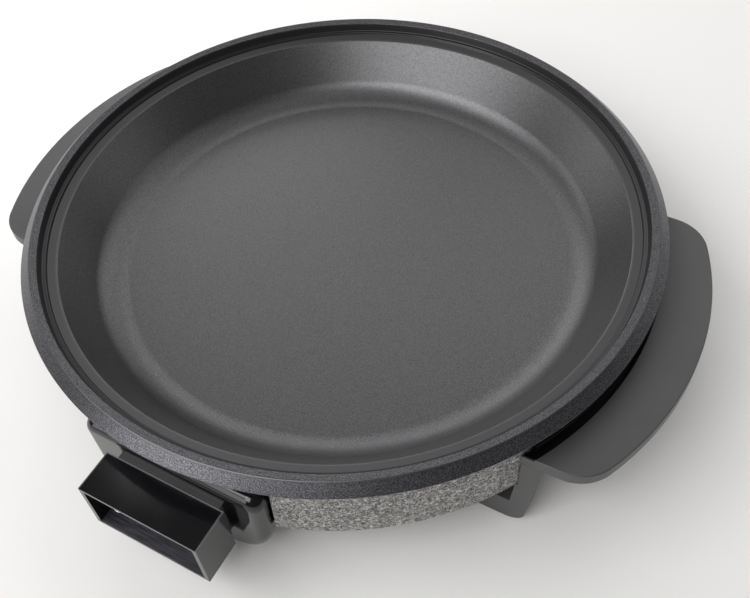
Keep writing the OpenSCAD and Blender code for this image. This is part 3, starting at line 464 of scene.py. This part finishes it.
def glossMaterial(name, look):
    m = nodeSheet(name)
    axes = m.axes()
    across, along, height = axes["X"], axes["Y"], axes["Z"]
    broad, grain = m.noise(look["broad"], 3), m.noise(look["grain"], 3, 0.6)
    low, before = m.ramp(height, *look["floor"]), m.ramp(along, *look["strokeEnd"])
    inside = m.math("MULTIPLY", low, before)
    side = m.ramp(m.math("ABSOLUTE", across), *look["sides"])
    rear = m.span(along, look["rear"], look["front"])
    high = m.math("MULTIPLY", m.ramp(height, *look["top"]), m.ramp(along, *look["front"]))
    # painted highlights along the top rear and side edges
    edges = m.math("MAXIMUM", m.math("MULTIPLY", side, look["sideHighlight"]), rear)
    m.stretch(look["strokes"])
    strokes = m.ramp(m.noise(1, 3, 0.7, 0.4), *look["strokeSpread"])
    colour = m.blend(m.math("MULTIPLY", inside, strokes), look["colour"], look["strokeColour"])
    rough = m.ramp(broad, *look["broadSpread"], *look["roughness"])
    return m.set(colour=m.blend(m.math("MULTIPLY", high, edges), colour, look["paintedHighlight"]),
                 roughness=m.math("ADD", m.math("MULTIPLY", inside, look["strokeRough"]), rough),
                 normal=m.bump(grain, look["bump"], look["depth"]), specular=look["specular"])


# Handle plastic, glossy on the wall that stands under the rim and along its foot, with painted
# shade there: near black where the rim's shadow falls
handleLook = {
    "colour": (0.056, 0.056, 0.056),
    "paler": (0.0672, 0.0672, 0.0672),
    # painted shade: near black over the wall and over the plate's top beside its foot, out to
    # wallEnd's radius and above plateTop
    "paintedShadeColour": (0.003, 0.003, 0.003),
    "wallEnd": (0.1992, 0.1998),
    "plateTop": (0.0752, 0.0748),
    "broad": 14,
    "tintSpread": (0.35, 0.65),
    "roughSpread": (0.3, 0.7),
    "wallRough": (0.14, 0.17),
    "plateRough": 0.26,   # added to the wall's
    "shine": 0.45,        # the plate's specular level above the wall's
    "wallShare": 0.3,     # the wall's level, as a share of that
    "grain": 4200,
    "bump": 0.3,
    "depth": 0.00008,
}


def handleMaterial(name, look):
    m = nodeSheet(name)
    grain, broad = m.noise(look["grain"], 3, 0.6), m.noise(look["broad"], 3)
    # zero where the painted shade goes, on the wall and the plate's top beside it
    away = m.math("MAXIMUM", m.ramp(m.radius(), *look["wallEnd"]),
                  m.ramp(m.axes()["Z"], *look["plateTop"]))
    tinted = m.blend(m.ramp(broad, *look["tintSpread"]), look["colour"], look["paler"])
    rough = m.ramp(broad, *look["roughSpread"], *look["wallRough"])
    shine = m.math("MULTIPLY", m.math("ADD", away, look["wallShare"]), look["shine"])
    return m.set(colour=m.blend(away, look["paintedShadeColour"], tinted), specular=shine,
                 roughness=m.math("ADD", m.math("MULTIPLY", away, look["plateRough"]), rough),
                 normal=m.bump(m.math("MULTIPLY", grain, away), look["bump"], look["depth"]))


metalLook = {
    "broad": 22,
    "spread": (0.3, 0.7),
    "darker": 0.82,
    "roughShare": (0.8, 1.25),
    "bump": 0.15,
    "depth": 0.00006,
}


def metalMaterial(name, colour, roughness, grain=900, streak=None):
    m, look = nodeSheet(name), metalLook
    if streak:
        m.stretch(streak)
    fine, broad = m.noise(grain, 4, 0.6), m.noise(look["broad"])
    darker = tuple(c * look["darker"] for c in colour)
    ends = (min(1, roughness * share) for share in look["roughShare"])
    return m.set(colour=m.blend(m.ramp(broad, *look["spread"]), darker, colour), metallic=1.0,
                 roughness=m.ramp(fine, *look["spread"], *ends),
                 normal=m.bump(fine, look["bump"], look["depth"]))


# Cast metal faced on a lathe: fine rings about the upright axis
facedLook = {
    "dark": (0.368, 0.368, 0.376),
    "light": (0.46, 0.46, 0.47),
    "roughness": (0.357, 0.504),
    "broad": 30,
    "grain": 1600,
    "spread": (0.3, 0.7),
    "pitch": 0.0016,
    "ringBump": 0.25,
    "grainBump": 0.2,
    "depth": 0.0001,
}


def facedMetalMaterial(name, look):
    m = nodeSheet(name)
    wave = m.math("SINE", m.math("MULTIPLY", m.radius(), 2 * math.pi / look["pitch"]))
    grain, broad = m.noise(look["grain"], 4, 0.6), m.noise(look["broad"], 3)
    under = m.bump(grain, look["grainBump"], look["depth"])
    return m.set(colour=m.blend(m.ramp(broad, *look["spread"]), look["dark"], look["light"]),
                 roughness=m.ramp(grain, *look["spread"], *look["roughness"]), metallic=1.0,
                 normal=m.bump(wave, look["ringBump"], look["depth"], under))


# Plain plastics and metals: name, colour, roughness and what differs from their looks
materials = {
    "pan_coating": panCoatingMaterial("panCoating", panLook),
    "ring_paint": ringPaintMaterial("ringPaint", ringLook),
    "soft_edging": plasticMaterial("softEdging", (0.015, 0.015, 0.015), 0.6),
    "plate_steel": metalMaterial("plateSteel", (0.55, 0.55, 0.56), 0.36, streak=(1, 14, 1)),
    "reflector_sheet": metalMaterial("reflectorSheet", (0.78, 0.78, 0.8), 0.22),
    "heater_metal": facedMetalMaterial("heaterMetal", facedLook),
    "sheath": metalMaterial("sheath", (0.20, 0.18, 0.17), 0.55, grain=1400),
    "ceramic": plasticMaterial("ceramic", (0.75, 0.73, 0.68), 0.55, fade=1.08),
    "brass": metalMaterial("brass", (0.72, 0.55, 0.27), 0.32),
    "contact_metal": metalMaterial("contactMetal", (0.80, 0.79, 0.75), 0.2),
    "block_resin": plasticMaterial("blockResin", (0.030, 0.026, 0.024), 0.5),
    "gloss_black": glossMaterial("glossBlack", glossLook),
    "handle_black": handleMaterial("handleBlack", handleLook),
    "screw_steel": metalMaterial("screwSteel", (0.6, 0.6, 0.6), 0.3),
    "lead_red": plasticMaterial("leadRed", (0.40, 0.03, 0.025), 0.5),
    "lead_blue": plasticMaterial("leadBlue", (0.03, 0.08, 0.32), 0.5),
    "pad_rubber": plasticMaterial("padRubber", (0.022, 0.022, 0.022), 0.7),
}
slotOf = {s["node"]: s["material_slot"] for s in frame["record"]["subparts"]}
for name, node in frame["nodes"].items():
    node.data.materials.clear()
    node.data.materials.append(materials[slotOf[name]])
print("materials made:", len(materials))

panShape = {
    "floor": 0.043,       # depth of the cooking floor below the rim's top
    "floorRadius": 0.1545,
    "fillet": 0.024,
    "wall": 0.0038,
    "footRound": 0.0008,  # where the wall's outside meets the ledge's foot
    "spaceRise": 0.02,    # how far the solid of the pan's underside reaches above its rim
    "spaceSteps": 180,
    "steps": 288,
    "roundSteps": 8,
    # corners of the section: radius, depth below panTop and rounding
    "wallTop": (0.1785, 0.0096, 0.0012),
    "ledge": (0.1841, 0.008, 0.0003),  # between the wall and the lid seat
    "seatIn": (0.1847, 0.0065, 0.0004),
    "seatOut": (0.1869, 0.0065, 0.0005),
    "lipInner": (0.1884, 0.0013, 0.0005),
    "rimTop": (0.193, 0.0001, 0.0009),
    "rimEdge": (0.1999, 0.0068, 0.0006),
    "under": (0.1954, 0.0085, 0),
    "underIn": (0.1884, 0.0085, 0),
    "ledgeFoot": (0.1874, 0.0115, 0),
}
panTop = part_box("pan")[1].z + panShape["rimTop"][1]


# Radius of the pan's outer wall at a depth, with room c around it
def panWallRadius(depth, c=0.0):
    p = panShape
    topRadius, topDepth, _ = p["wallTop"]
    run, rise = topRadius - p["floorRadius"], p["floor"] - topDepth
    out = (p["wall"] + c) / math.sin(math.atan2(rise, run))
    return topRadius + out + (topDepth - depth) * run / rise


def makePan():
    p = panShape
    foot, ledgeDepth = p["floor"] + p["wall"], p["ledgeFoot"][1]
    corners = [(0, p["floor"], 0), (p["floorRadius"], p["floor"], p["fillet"])]
    corners += [p[k] for k in ("wallTop", "ledge", "seatIn", "seatOut", "lipInner", "rimTop",
                               "rimEdge", "under", "underIn", "ledgeFoot")]
    corners += [(panWallRadius(ledgeDepth), ledgeDepth, p["footRound"]),
                (panWallRadius(foot), foot, p["fillet"] + p["wall"]), (0, foot, 0)]
    bm = turned([(r, panTop - depth, c) for r, depth, c in corners], p["steps"], p["roundSteps"])
    finishPiece(bm, "panShell", "pan", "pan_coating", "pan", smoothAngle=28)


# Solid that fills the pan's underside with room c around it
def panSpace(c):
    p = panShape
    foot, underRim = p["floor"] + p["wall"] + c, p["under"][1]
    edge = panWallRadius(underRim, c)
    corners = [(0, -p["spaceRise"], 0), (edge, -p["spaceRise"], 0), (edge, underRim, 0),
               (panWallRadius(foot, c), foot, p["fillet"] + p["wall"] + c), (0, foot, 0)]
    heights = [(r, panTop - depth, rounding) for r, depth, rounding in corners]
    return turned(heights, p["spaceSteps"], p["roundSteps"])


makePan()
print("pan made")

handleLow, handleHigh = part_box("handle_right")
handleShape = {
    "edgeRadius": 0.196,
    "corner": 0.026,
    "thick": 0.008,
    "bevel": 0.0008,
    "seam": 0.0004,      # broken lower edge
    "ring": 0.1933,      # radius of the hollow against the ring
    "wall": 0.0035,
    "wallIn": 0.0002,    # how far the wall stands back from the hollow
    "wallSink": 0.002,   # and reaches down into the plate
    "wallRound": 0.0006,
    "wallEnd": 29.53,    # degrees from the handle's middle
    "steps": 48,
    "edgeSteps": 40,
    "cornerSteps": 12,
}


def makeHandle(name, node, flipped=False):
    h, pick = handleShape, tiny["pick"]
    half, low = handleHigh.y, handleLow.z
    corner, radius = h["corner"], h["edgeRadius"]
    centre = handleHigh.x - radius
    cornerY = half - corner
    cornerX = centre + math.sqrt((radius - corner) ** 2 - cornerY ** 2)
    turn = math.atan2(cornerY, cornerX - centre)
    cornerTurn = math.pi / 2 - turn
    reach = math.acos(half / h["ring"])
    bm = bmesh.new()
    # the outer edge in three arcs, front corner first
    tip = [bm.verts.new((cornerX, -half, low))]
    for middle, angle, steps in (((cornerX, -cornerY, low), cornerTurn, h["cornerSteps"]),
                                 ((centre, 0, low), 2 * turn, h["edgeSteps"]),
                                 ((cornerX, cornerY, low), cornerTurn, h["cornerSteps"])):
        swept = bmesh.ops.spin(bm, geom=tip, cent=middle, axis=(0, 0, 1), angle=angle, steps=steps)
        tip = [v for v in swept["geom_last"] if isinstance(v, bmesh.types.BMVert)]
    inner = bm.verts.new((h["ring"] * math.sin(reach), -half, low))
    bmesh.ops.spin(bm, geom=[inner], cent=(0, 0, low), axis=(0, 0, 1),
                   angle=math.pi - 2 * reach, steps=h["steps"])
    ends = [v for v in bm.verts if len(v.link_edges) == 1]
    for sign in (-1, 1):
        bm.edges.new([v for v in ends if v.co.y * sign > 0])
    pullOut(bm, (0, 0, h["thick"]))
    top = low + h["thick"]
    bevelEdges(bm, sharpEdges(bm, lambda c: c.z > top - pick), h["bevel"], segments=4)
    bevelEdges(bm, sharpEdges(bm, lambda c: c.z < low + pick), h["seam"], segments=2)
    # the wall that stands against the ring
    foot, wallTop = top - h["wallSink"], handleHigh.z
    a = math.radians(h["wallEnd"])
    near, far = h["ring"] + h["wallIn"], h["ring"] + h["wall"]
    strip = [(near, foot), (far, foot), (far, wallTop), (near, wallTop)]
    wall = bmesh.new()
    made = outline(wall, [(r * math.cos(a), -r * math.sin(a), z) for r, z in strip])
    face = bmesh.ops.contextual_create(wall, geom=made)["faces"]
    bmesh.ops.spin(wall, geom=face, cent=(0, 0, 0), axis=(0, 0, 1), angle=2 * a,
                   steps=h["steps"])
    bevelEdges(wall, sharpEdges(wall, lambda c: c.z > wallTop - pick), h["wallRound"], segments=2)
    bm = carve(bm, [wall], "UNION")
    if flipped:
        bmesh.ops.rotate(bm, cent=(0, 0, 0), matrix=Matrix.Rotation(math.pi, 3, "Z"),
                         verts=bm.verts[:])
    finishPiece(bm, name, "base", "handle_black", node)


makeHandle("handleRight", "handle_right")
makeHandle("handleLeft", "handle_left", flipped=True)
mouldedEdge = 0.0009     # broken edges of the legs and the shroud
for side in ("right", "left"):
    for end in ("front", "rear"):
        name = "leg" + end.title() + side.title()
        softenNode("leg_" + end + "_" + side, name, mouldedEdge, segments=3)
print("handles and legs made")

ringShape = {
    "radius": 0.193,
    "low": 0.043,
    "top": 0.0915,
    "sheet": 0.0012,
    "flange": 0.030,
    "footRound": 0.0016,
    "footInside": 0.0006,
    "edge": 0.0003,
    "slotRoom": 0.0015,  # around the inlet housing
    "slotEnd": -0.1487,
    "slotDeep": 0.1,
    "steps": 256,
    "roundSteps": 4,
}
housingShape = {
    "front": -0.193,
    "back": -0.150,
    "low": 0.014,
    "top": 0.080,
    "halfLow": 0.057,
    "halfTop": 0.059,
    "topCorner": 0.009,
    "lowCorner": 0.028,
    "cornerSteps": 10,
    "frontRound": 0.007,
    "wall": 0.003,
    "roofRoom": 0.002,      # between the housing and the pan
    "pinHeight": 0.0455,
    "shroudHeight": 0.0477,
    "earX": 0.06295,        # ears that the housing's screws go through
    "earHalf": 0.008,
    "earDeep": 0.014,
    "earLow": 0.0452,
    "earTop": 0.0482,
    "coverHalf": 0.022,     # opening below, which the cover closes
    "coverScrew": (0.025, -0.1715),
    "coverScrewRoom": (0.0028, 0.0039),  # radius and height
    "coverScrewLevel": 0.0136,
    "backHalf": 0.0419,     # opening in the back for the contacts
    "backLow": 0.0392,
    "backTop": 0.053,
    "neckHalf": 0.029,      # opening in the front for the neck
    "neckRise": 0.0128,
}


def housingHalf(z):
    h = housingShape
    return h["halfLow"] + (h["halfTop"] - h["halfLow"]) * (z - h["low"]) / (h["top"] - h["low"])


def makeRing():
    r, outer = ringShape, ringShape["radius"]
    inside, lip = outer - r["sheet"], outer - r["flange"]
    low, top = r["low"], r["top"]
    corners = [(lip, low, 0), (outer, low, r["footRound"]), (outer, top, 0), (inside, top, 0),
               (inside, low + r["sheet"], r["footInside"]), (lip, low + r["sheet"], 0)]
    bm = turned(corners, r["steps"], r["roundSteps"], closed=True)
    room = r["slotRoom"]
    slotLow, slotTop = -tiny["past"], housingShape["top"] + room
    halfLow, halfTop = housingHalf(0) + room, housingHalf(slotTop - room) + room
    slot = bmesh.new()
    sides = [(-halfLow, slotLow), (-halfTop, slotTop), (halfTop, slotTop), (halfLow, slotLow)]
    outline(slot, [(x, r["slotEnd"], z) for x, z in sides])
    pullOut(slot, (0, -r["slotDeep"], 0))
    bm = carve(bm, [slot])
    joinFlatFaces(bm, 0.2)
    bevelEdges(bm, sharpEdges(bm), r["edge"], segments=2)
    finishPiece(bm, "ringShell", "base", "ring_paint", "body_ring")


edgingShape = {
    "thick": 0.0007,
    "height": 0.0035,
    "fit": 0.00005,
    "topRound": 0.0006,
    "footRound": 0.0002,
}


def makeEdging():
    e, r = edgingShape, ringShape
    outer = r["radius"] + e["fit"]
    inner = r["radius"] - r["sheet"] - e["fit"]
    top, foot = r["top"], r["top"] - e["height"]
    t, topRound, footRound = e["thick"], e["topRound"], e["footRound"]
    corners = [(inner - t, foot, footRound), (inner, foot, 0), (inner, top, 0), (outer, top, 0),
               (outer, foot, 0), (outer + t, foot, footRound), (outer + t, top + t, topRound),
               (inner - t, top + t, topRound)]
    bm = turned(corners, r["steps"], r["roundSteps"], closed=True)
    finishPiece(bm, "ringEdging", "base", "soft_edging", "ring_gasket")


# The housing's outer or inner solid, drawn in by an inset
def housingForm(inset, front, back):
    h = housingShape
    low, top = h["low"] + inset, h["top"] - inset
    halfLow, halfTop = housingHalf(low) - inset, housingHalf(top) - inset
    sides = [(-halfTop, top), (halfTop, top), (halfLow, low), (-halfLow, low)]
    radii = [h["topCorner"] - inset / 2] * 2 + [h["lowCorner"] - inset / 2] * 2
    bm = bmesh.new()
    made = outline(bm, [(x, back, z) for x, z in sides])
    roundCorners(bm, list(zip(made, radii)), h["cornerSteps"])
    pullOut(bm, (0, front - back, 0))
    return bm


def makeHousing():
    h, past = housingShape, tiny["past"]
    front, back, wall = h["front"], h["back"], h["wall"]
    frontIn, backIn, room = front + wall, back - wall, h["roofRoom"]
    bm = housingForm(0, front, back)
    rim = sharpEdges(bm, lambda c: c.y < front + tiny["pick"])
    bevelEdges(bm, rim, h["frontRound"], h["cornerSteps"])
    ears = [block((s * h["earX"] - h["earHalf"], back - h["earDeep"], h["earLow"]),
                  (s * h["earX"] + h["earHalf"], back, h["earTop"])) for s in (-1, 1)]
    bm = carve(bm, ears, "UNION")
    hollow = carve(housingForm(wall, frontIn, backIn), [panSpace(room + wall)])
    cover, rear, neck = h["coverHalf"], h["backHalf"], h["neckHalf"]
    neckLow, neckTop = h["shroudHeight"] - h["neckRise"], h["shroudHeight"] + h["neckRise"]
    tools = [
        panSpace(room), hollow,
        block((-cover, frontIn, 0), (cover, backIn, h["low"] + wall + past)),
        block((-rear, backIn - past, h["backLow"]), (rear, back + past, h["backTop"])),
        block((-neck, front - past, neckLow), (neck, frontIn + past, neckTop))]
    screwX, screwY = h["coverScrew"]
    roomRadius, roomHeight = h["coverScrewRoom"]
    for s in (-1, 1):
        place = Matrix.Translation((s * screwX, screwY, h["coverScrewLevel"]))
        tools.append(rod(roomRadius, place, roomHeight))
    bm = carve(bm, tools)
    joinFlatFaces(bm, 0.3)
    finishPiece(bm, "inletHousing", "base", "gloss_black", "inlet_housing")


makeRing()
makeEdging()
makeHousing()
softenNode("inlet_shroud", "inletShroud", mouldedEdge, segments=3)
softenNode("pin_block", "pinBlock", 0.0004)
print("ring, edging and inlet made")

pinShape = {
    "radius": 0.0024,
    "shoulder": 0.0028,
    "collar": 0.004,
    "collarThick": 0.0016,
    "hollow": 0.0012,
    "hollowDepth": 0.004,
    "hollowRound": 0.0004,
    "tipRound": 0.0007,
    "endRound": 0.0004,
    "edge": 0.0003,
    "seat": -0.1995,     # face of the pin block
    "tail": -0.184,
    "end": -0.1782,
    "steps": 40,
    "roundSteps": 4,
    # name, place across and tip of each
    "earth_pin": ("earthPin", -0.0238, -0.217),
    "line_pin": ("linePin", 0.0042, -0.212),
    "neutral_pin": ("neutralPin", 0.0182, -0.212),
}


def makePin(node):
    p, height = pinShape, housingShape["pinHeight"]
    name, x, tip = p[node]
    radius, shoulder, collar, edge = p["radius"], p["shoulder"], p["collar"], p["edge"]
    hollow, deep = p["hollow"], p["hollowDepth"]
    seat, tail, end = p["seat"] - tip, p["tail"] - tip, p["end"] - tip
    collarEnd = tail + p["collarThick"]
    corners = [(0, deep, 0), (hollow, deep, edge), (hollow, 0, p["hollowRound"]),
               (radius, 0, p["tipRound"]), (radius, seat, 0), (shoulder, seat, edge),
               (shoulder, tail, 0), (collar, tail, edge), (collar, collarEnd, edge),
               (radius, collarEnd, 0), (radius, end, p["endRound"]), (0, end, 0)]
    bm = turned(corners, p["steps"], p["roundSteps"])
    place = Matrix.Translation((x, tip, height)) @ Matrix.Rotation(-math.pi / 2, 4, "X")
    bmesh.ops.transform(bm, matrix=place, verts=bm.verts[:])
    finishPiece(bm, name, "base", "contact_metal", node)


for node in ("earth_pin", "line_pin", "neutral_pin"):
    makePin(node)

screwSizes = {
    "large": {"shank": 0.002, "head": 0.004, "headHeight": 0.0024, "slot": 0.0011},
    "small": {"shank": 0.0014, "head": 0.0025, "headHeight": 0.0014, "slot": 0.0007},
}
# shares of the head's height, the shank's radius, and the head's radius and height
screwShares = {"dome": 0.85, "point": 0.3, "crossReach": 0.62, "crossDeep": 0.55}


# Screw with a domed head below its seat at the origin and its shank along +Z
def screwForm(size, length):
    s, share = screwSizes[size], screwShares
    head, high, shank = s["head"], s["headHeight"], s["shank"]
    corners = [(0, -high, 0), (head, -high, high * share["dome"]), (head, 0, 0), (shank, 0, 0),
               (shank, length, shank * share["point"]), (0, length, 0)]
    bm = turned(corners, 32, 5)
    arm, slot = head * share["crossReach"], s["slot"] / 2
    low, deep = -high - tiny["past"], -high + high * share["crossDeep"]
    return carve(bm, [block((-arm, -slot, low), (arm, slot, deep)),
                      block((-slot, -arm, low), (slot, arm, deep))])


def at(x, y, z, turn=0.0, axis="X"):
    return Matrix.Translation((x, y, z)) @ Matrix.Rotation(turn, 4, axis)


legShape = {"screwX": 0.14522, "padX": 0.16072, "y": 0.0935}
postX = 0.070 * math.sqrt(0.5)
handleScrewTurn = 10     # degrees to each side of a handle's middle
pair = (-1, 1)
fourSigns = [(sx, sy) for sx in pair for sy in pair]
quarter = math.pi / 2
coverX, coverY = housingShape["coverScrew"]
# name, kind of screw, length of the shank and the places of the seats
screwRows = {
    "leg_screws": ("legScrews", "large", 0.0222,
                   [at(sx * legShape["screwX"], sy * legShape["y"], 0.027)
                    for sx, sy in fourSigns]),
    "housing_screws": ("housingScrews", "large", 0.0052,
                       [at(s * 0.06445, -0.157, 0.043) for s in pair]),
    "cover_screws": ("coverScrews", "small", 0.0045,
                     [at(s * coverX, coverY, 0.01555) for s in pair]),
    "heater_screws": ("heaterScrews", "large", 0.0179,
                      [at(sx * postX, sy * postX, 0.032) for sx, sy in fourSigns]),
    "clamp_screws": ("clampScrews", "small", 0.0113,
                     [at(-0.0098 + s * 0.010, -0.104, 0.0386) for s in pair]),
    "inlet_screws": ("inletScrews", "small", 0.0095,
                     [at(sx * 0.0315, -0.187, housingShape["shroudHeight"] + sz * 0.008, quarter)
                      for sx, sz in fourSigns]),
    "shield_screws": ("shieldScrews", "small", 0.004,
                      [at(s * 0.0451, -0.149, housingShape["pinHeight"], quarter) for s in pair]),
    "earth_screw": ("earthScrew", "small", 0.0024, [at(-0.0238, -0.138, 0.032)]),
    "handle_screws": ("handleScrews", "large", 0.0173,
                      [Matrix.Rotation(math.radians(side + s * handleScrewTurn), 4, "Z")
                       @ at(0.1897, 0, 0.072, quarter, "Y") for side in (0, 180) for s in pair]),
}
for node, (name, size, length, places) in screwRows.items():
    rowMesh = bmesh.new()
    addCopies(rowMesh, screwForm(size, length), places)
    finishPiece(rowMesh, name, "base", "screw_steel", node)
print("screws made:", len(screwRows))

padShape = {
    "radius": 0.005,
    "height": 0.003,
    "round": 0.0008,
    "grooveRadius": 0.0028,
    "groove": 0.0004,
    "grooveSlope": 0.0006,
    "grooveRound": 0.0002,
    "steps": 40,
    "roundSteps": 4,
}


def makePads():
    p = padShape
    radius, height, groove, inner = p["radius"], p["height"], p["groove"], p["grooveRadius"]
    corners = [(0, groove, 0), (inner, groove, 0), (inner + p["grooveSlope"], 0, p["grooveRound"]),
               (radius, 0, p["round"]), (radius, height, 0), (0, height, 0)]
    form = turned(corners, p["steps"], p["roundSteps"])
    bm = bmesh.new()
    addCopies(bm, form, [at(sx * legShape["padX"], sy * legShape["y"], 0) for sx, sy in fourSigns])
    finishPiece(bm, "footPads", "base", "pad_rubber", "foot_pads")


makePads()

# name and width of the broken edges
softened = {
    "bottom_plate": ("bottomPlate", 0.0002), "heat_reflector": ("heatReflector", 0.0002),
    "heater_plate": ("heaterPlate", 0.0005), "heater_posts": ("heaterPosts", 0.0003),
    "element_clips": ("elementClips", 0.0002), "element_bushes": ("elementBushes", 0.0004),
    "heating_element": ("heatingElement", 0.0001), "probe_sleeve": ("probeSleeve", 0.0002),
    "probe_clamp": ("probeClamp", 0.0004), "contact_nuts": ("contactNuts", 0.0003),
    "housing_cover": ("housingCover", 0.0003), "terminal_shield": ("terminalShield", 0.0002),
    "line_lead": ("lineLead", 0.0001), "thermal_fuse": ("thermalFuse", 0.0005),
    "neutral_lead": ("neutralLead", 0.0002), "earth_strap": ("earthStrap", 0.0002),
    "handle_bracket_right": ("handleBracketRight", 0.0003),
    "handle_bracket_left": ("handleBracketLeft", 0.0003), "leg_nuts": ("legNuts", 0.0003),
}
for node, (name, width) in softened.items():
    softenNode(node, name, width)
print("inner pieces made:", len(softened))

roomLook = {
    "floor": (0.86, 0.86, 0.86),           # as the light sees it
    "floorShadedFront": (0.80, 0.79, 0.775),     # as it is seen, with painted shade at the front
    # as it is seen, with painted light at the rear
    "floorLitRear": (0.985, 0.973, 0.956),
    "floorLightFalloff": (-0.42, 0.10),            # painted light falloff, from front to rear
    "floorRough": 0.6,
    "floorRadius": 6,
    "background": (0.97, 0.97, 0.97),
    "world": 0.1,
}


def addFloor():
    look = roomLook
    bm = bmesh.new()
    bmesh.ops.create_circle(bm, cap_ends=True, segments=64, radius=look["floorRadius"])
    mesh = bpy.data.meshes.new("floor")
    bm.to_mesh(mesh)
    bm.free()
    floor = bpy.data.objects.new("floor", mesh)
    scene.collection.objects.link(floor)
    m = nodeSheet("floorPaper")
    path = m.add("ShaderNodeLightPath").outputs
    mirrored = m.math("MAXIMUM", path["Is Glossy Ray"], path["Is Transmission Ray"])
    seen = m.math("MAXIMUM", path["Is Camera Ray"], mirrored)
    # painted light falloff: as seen, the floor is darker at the front and lighter at the rear than
    # it is to the light
    paintedFalloff = m.blend(m.ramp(m.axes()["Y"], *look["floorLightFalloff"]), look["floorShadedFront"], look["floorLitRear"])
    colour = m.blend(seen, look["floor"], paintedFalloff)
    floor.data.materials.append(m.set(colour=colour, roughness=look["floorRough"]))


# Faint even light, with a bright background behind the floor's far edge
def addWorld():
    world = bpy.data.worlds.new("studio")
    scene.world = world
    world.use_nodes = True
    tree = world.node_tree
    tree.nodes.clear()
    path = tree.nodes.new("ShaderNodeLightPath")
    light = tree.nodes.new("ShaderNodeBackground")
    light.inputs["Color"].default_value = (1, 1, 1, 1)
    light.inputs["Strength"].default_value = roomLook["world"]
    seen = tree.nodes.new("ShaderNodeBackground")
    seen.inputs["Color"].default_value = (*roomLook["background"], 1)
    mix = tree.nodes.new("ShaderNodeMixShader")
    out = tree.nodes.new("ShaderNodeOutputWorld")
    tree.links.new(path.outputs["Is Camera Ray"], mix.inputs["Fac"])
    tree.links.new(light.outputs[0], mix.inputs[1])
    tree.links.new(seen.outputs[0], mix.inputs[2])
    tree.links.new(mix.outputs[0], out.inputs["Surface"])


# Soft boxes on a dome: degrees round from the right handle, degrees up, watts
lamps = {
    "backRight": (45, 20, 1.5),
    "back": (90, 20, 3.1),
    "backLeft": (135, 20, 5.5),
    "left": (180, 20, 4.3),
    "frontLeft": (247, 19, 6.5),
    "backRightHigh": (45, 48, 1.5),
    "backHigh": (90, 48, 2.8),
    "backLeftHigh": (135, 48, 2.9),
    "frontLeftHigh": (225, 48, 11.4),
    "frontHigh": (270, 48, 12.7),
    "top": (0, 90, 1.4),
}
dome = {"radius": 1.75, "size": 0.95, "middle": (0, 0, 0.08)}


def addLamps():
    for name, (around, up, watts) in lamps.items():
        data = bpy.data.lights.new(name, "AREA")
        data.size = dome["size"]
        data.energy = watts
        lamp = bpy.data.objects.new(name, data)
        a, e = math.radians(around), math.radians(up)
        away = Vector((math.cos(a) * math.cos(e), math.sin(a) * math.cos(e), math.sin(e)))
        place = Vector(dome["middle"]) + away * dome["radius"]
        turn = away.to_track_quat("Z", "Y").to_matrix().to_4x4()
        lamp.matrix_world = Matrix.Translation(place) @ turn
        scene.collection.objects.link(lamp)


addFloor()
addWorld()
addLamps()
scene.view_settings.view_transform = "Standard"
print("room and lamps made")
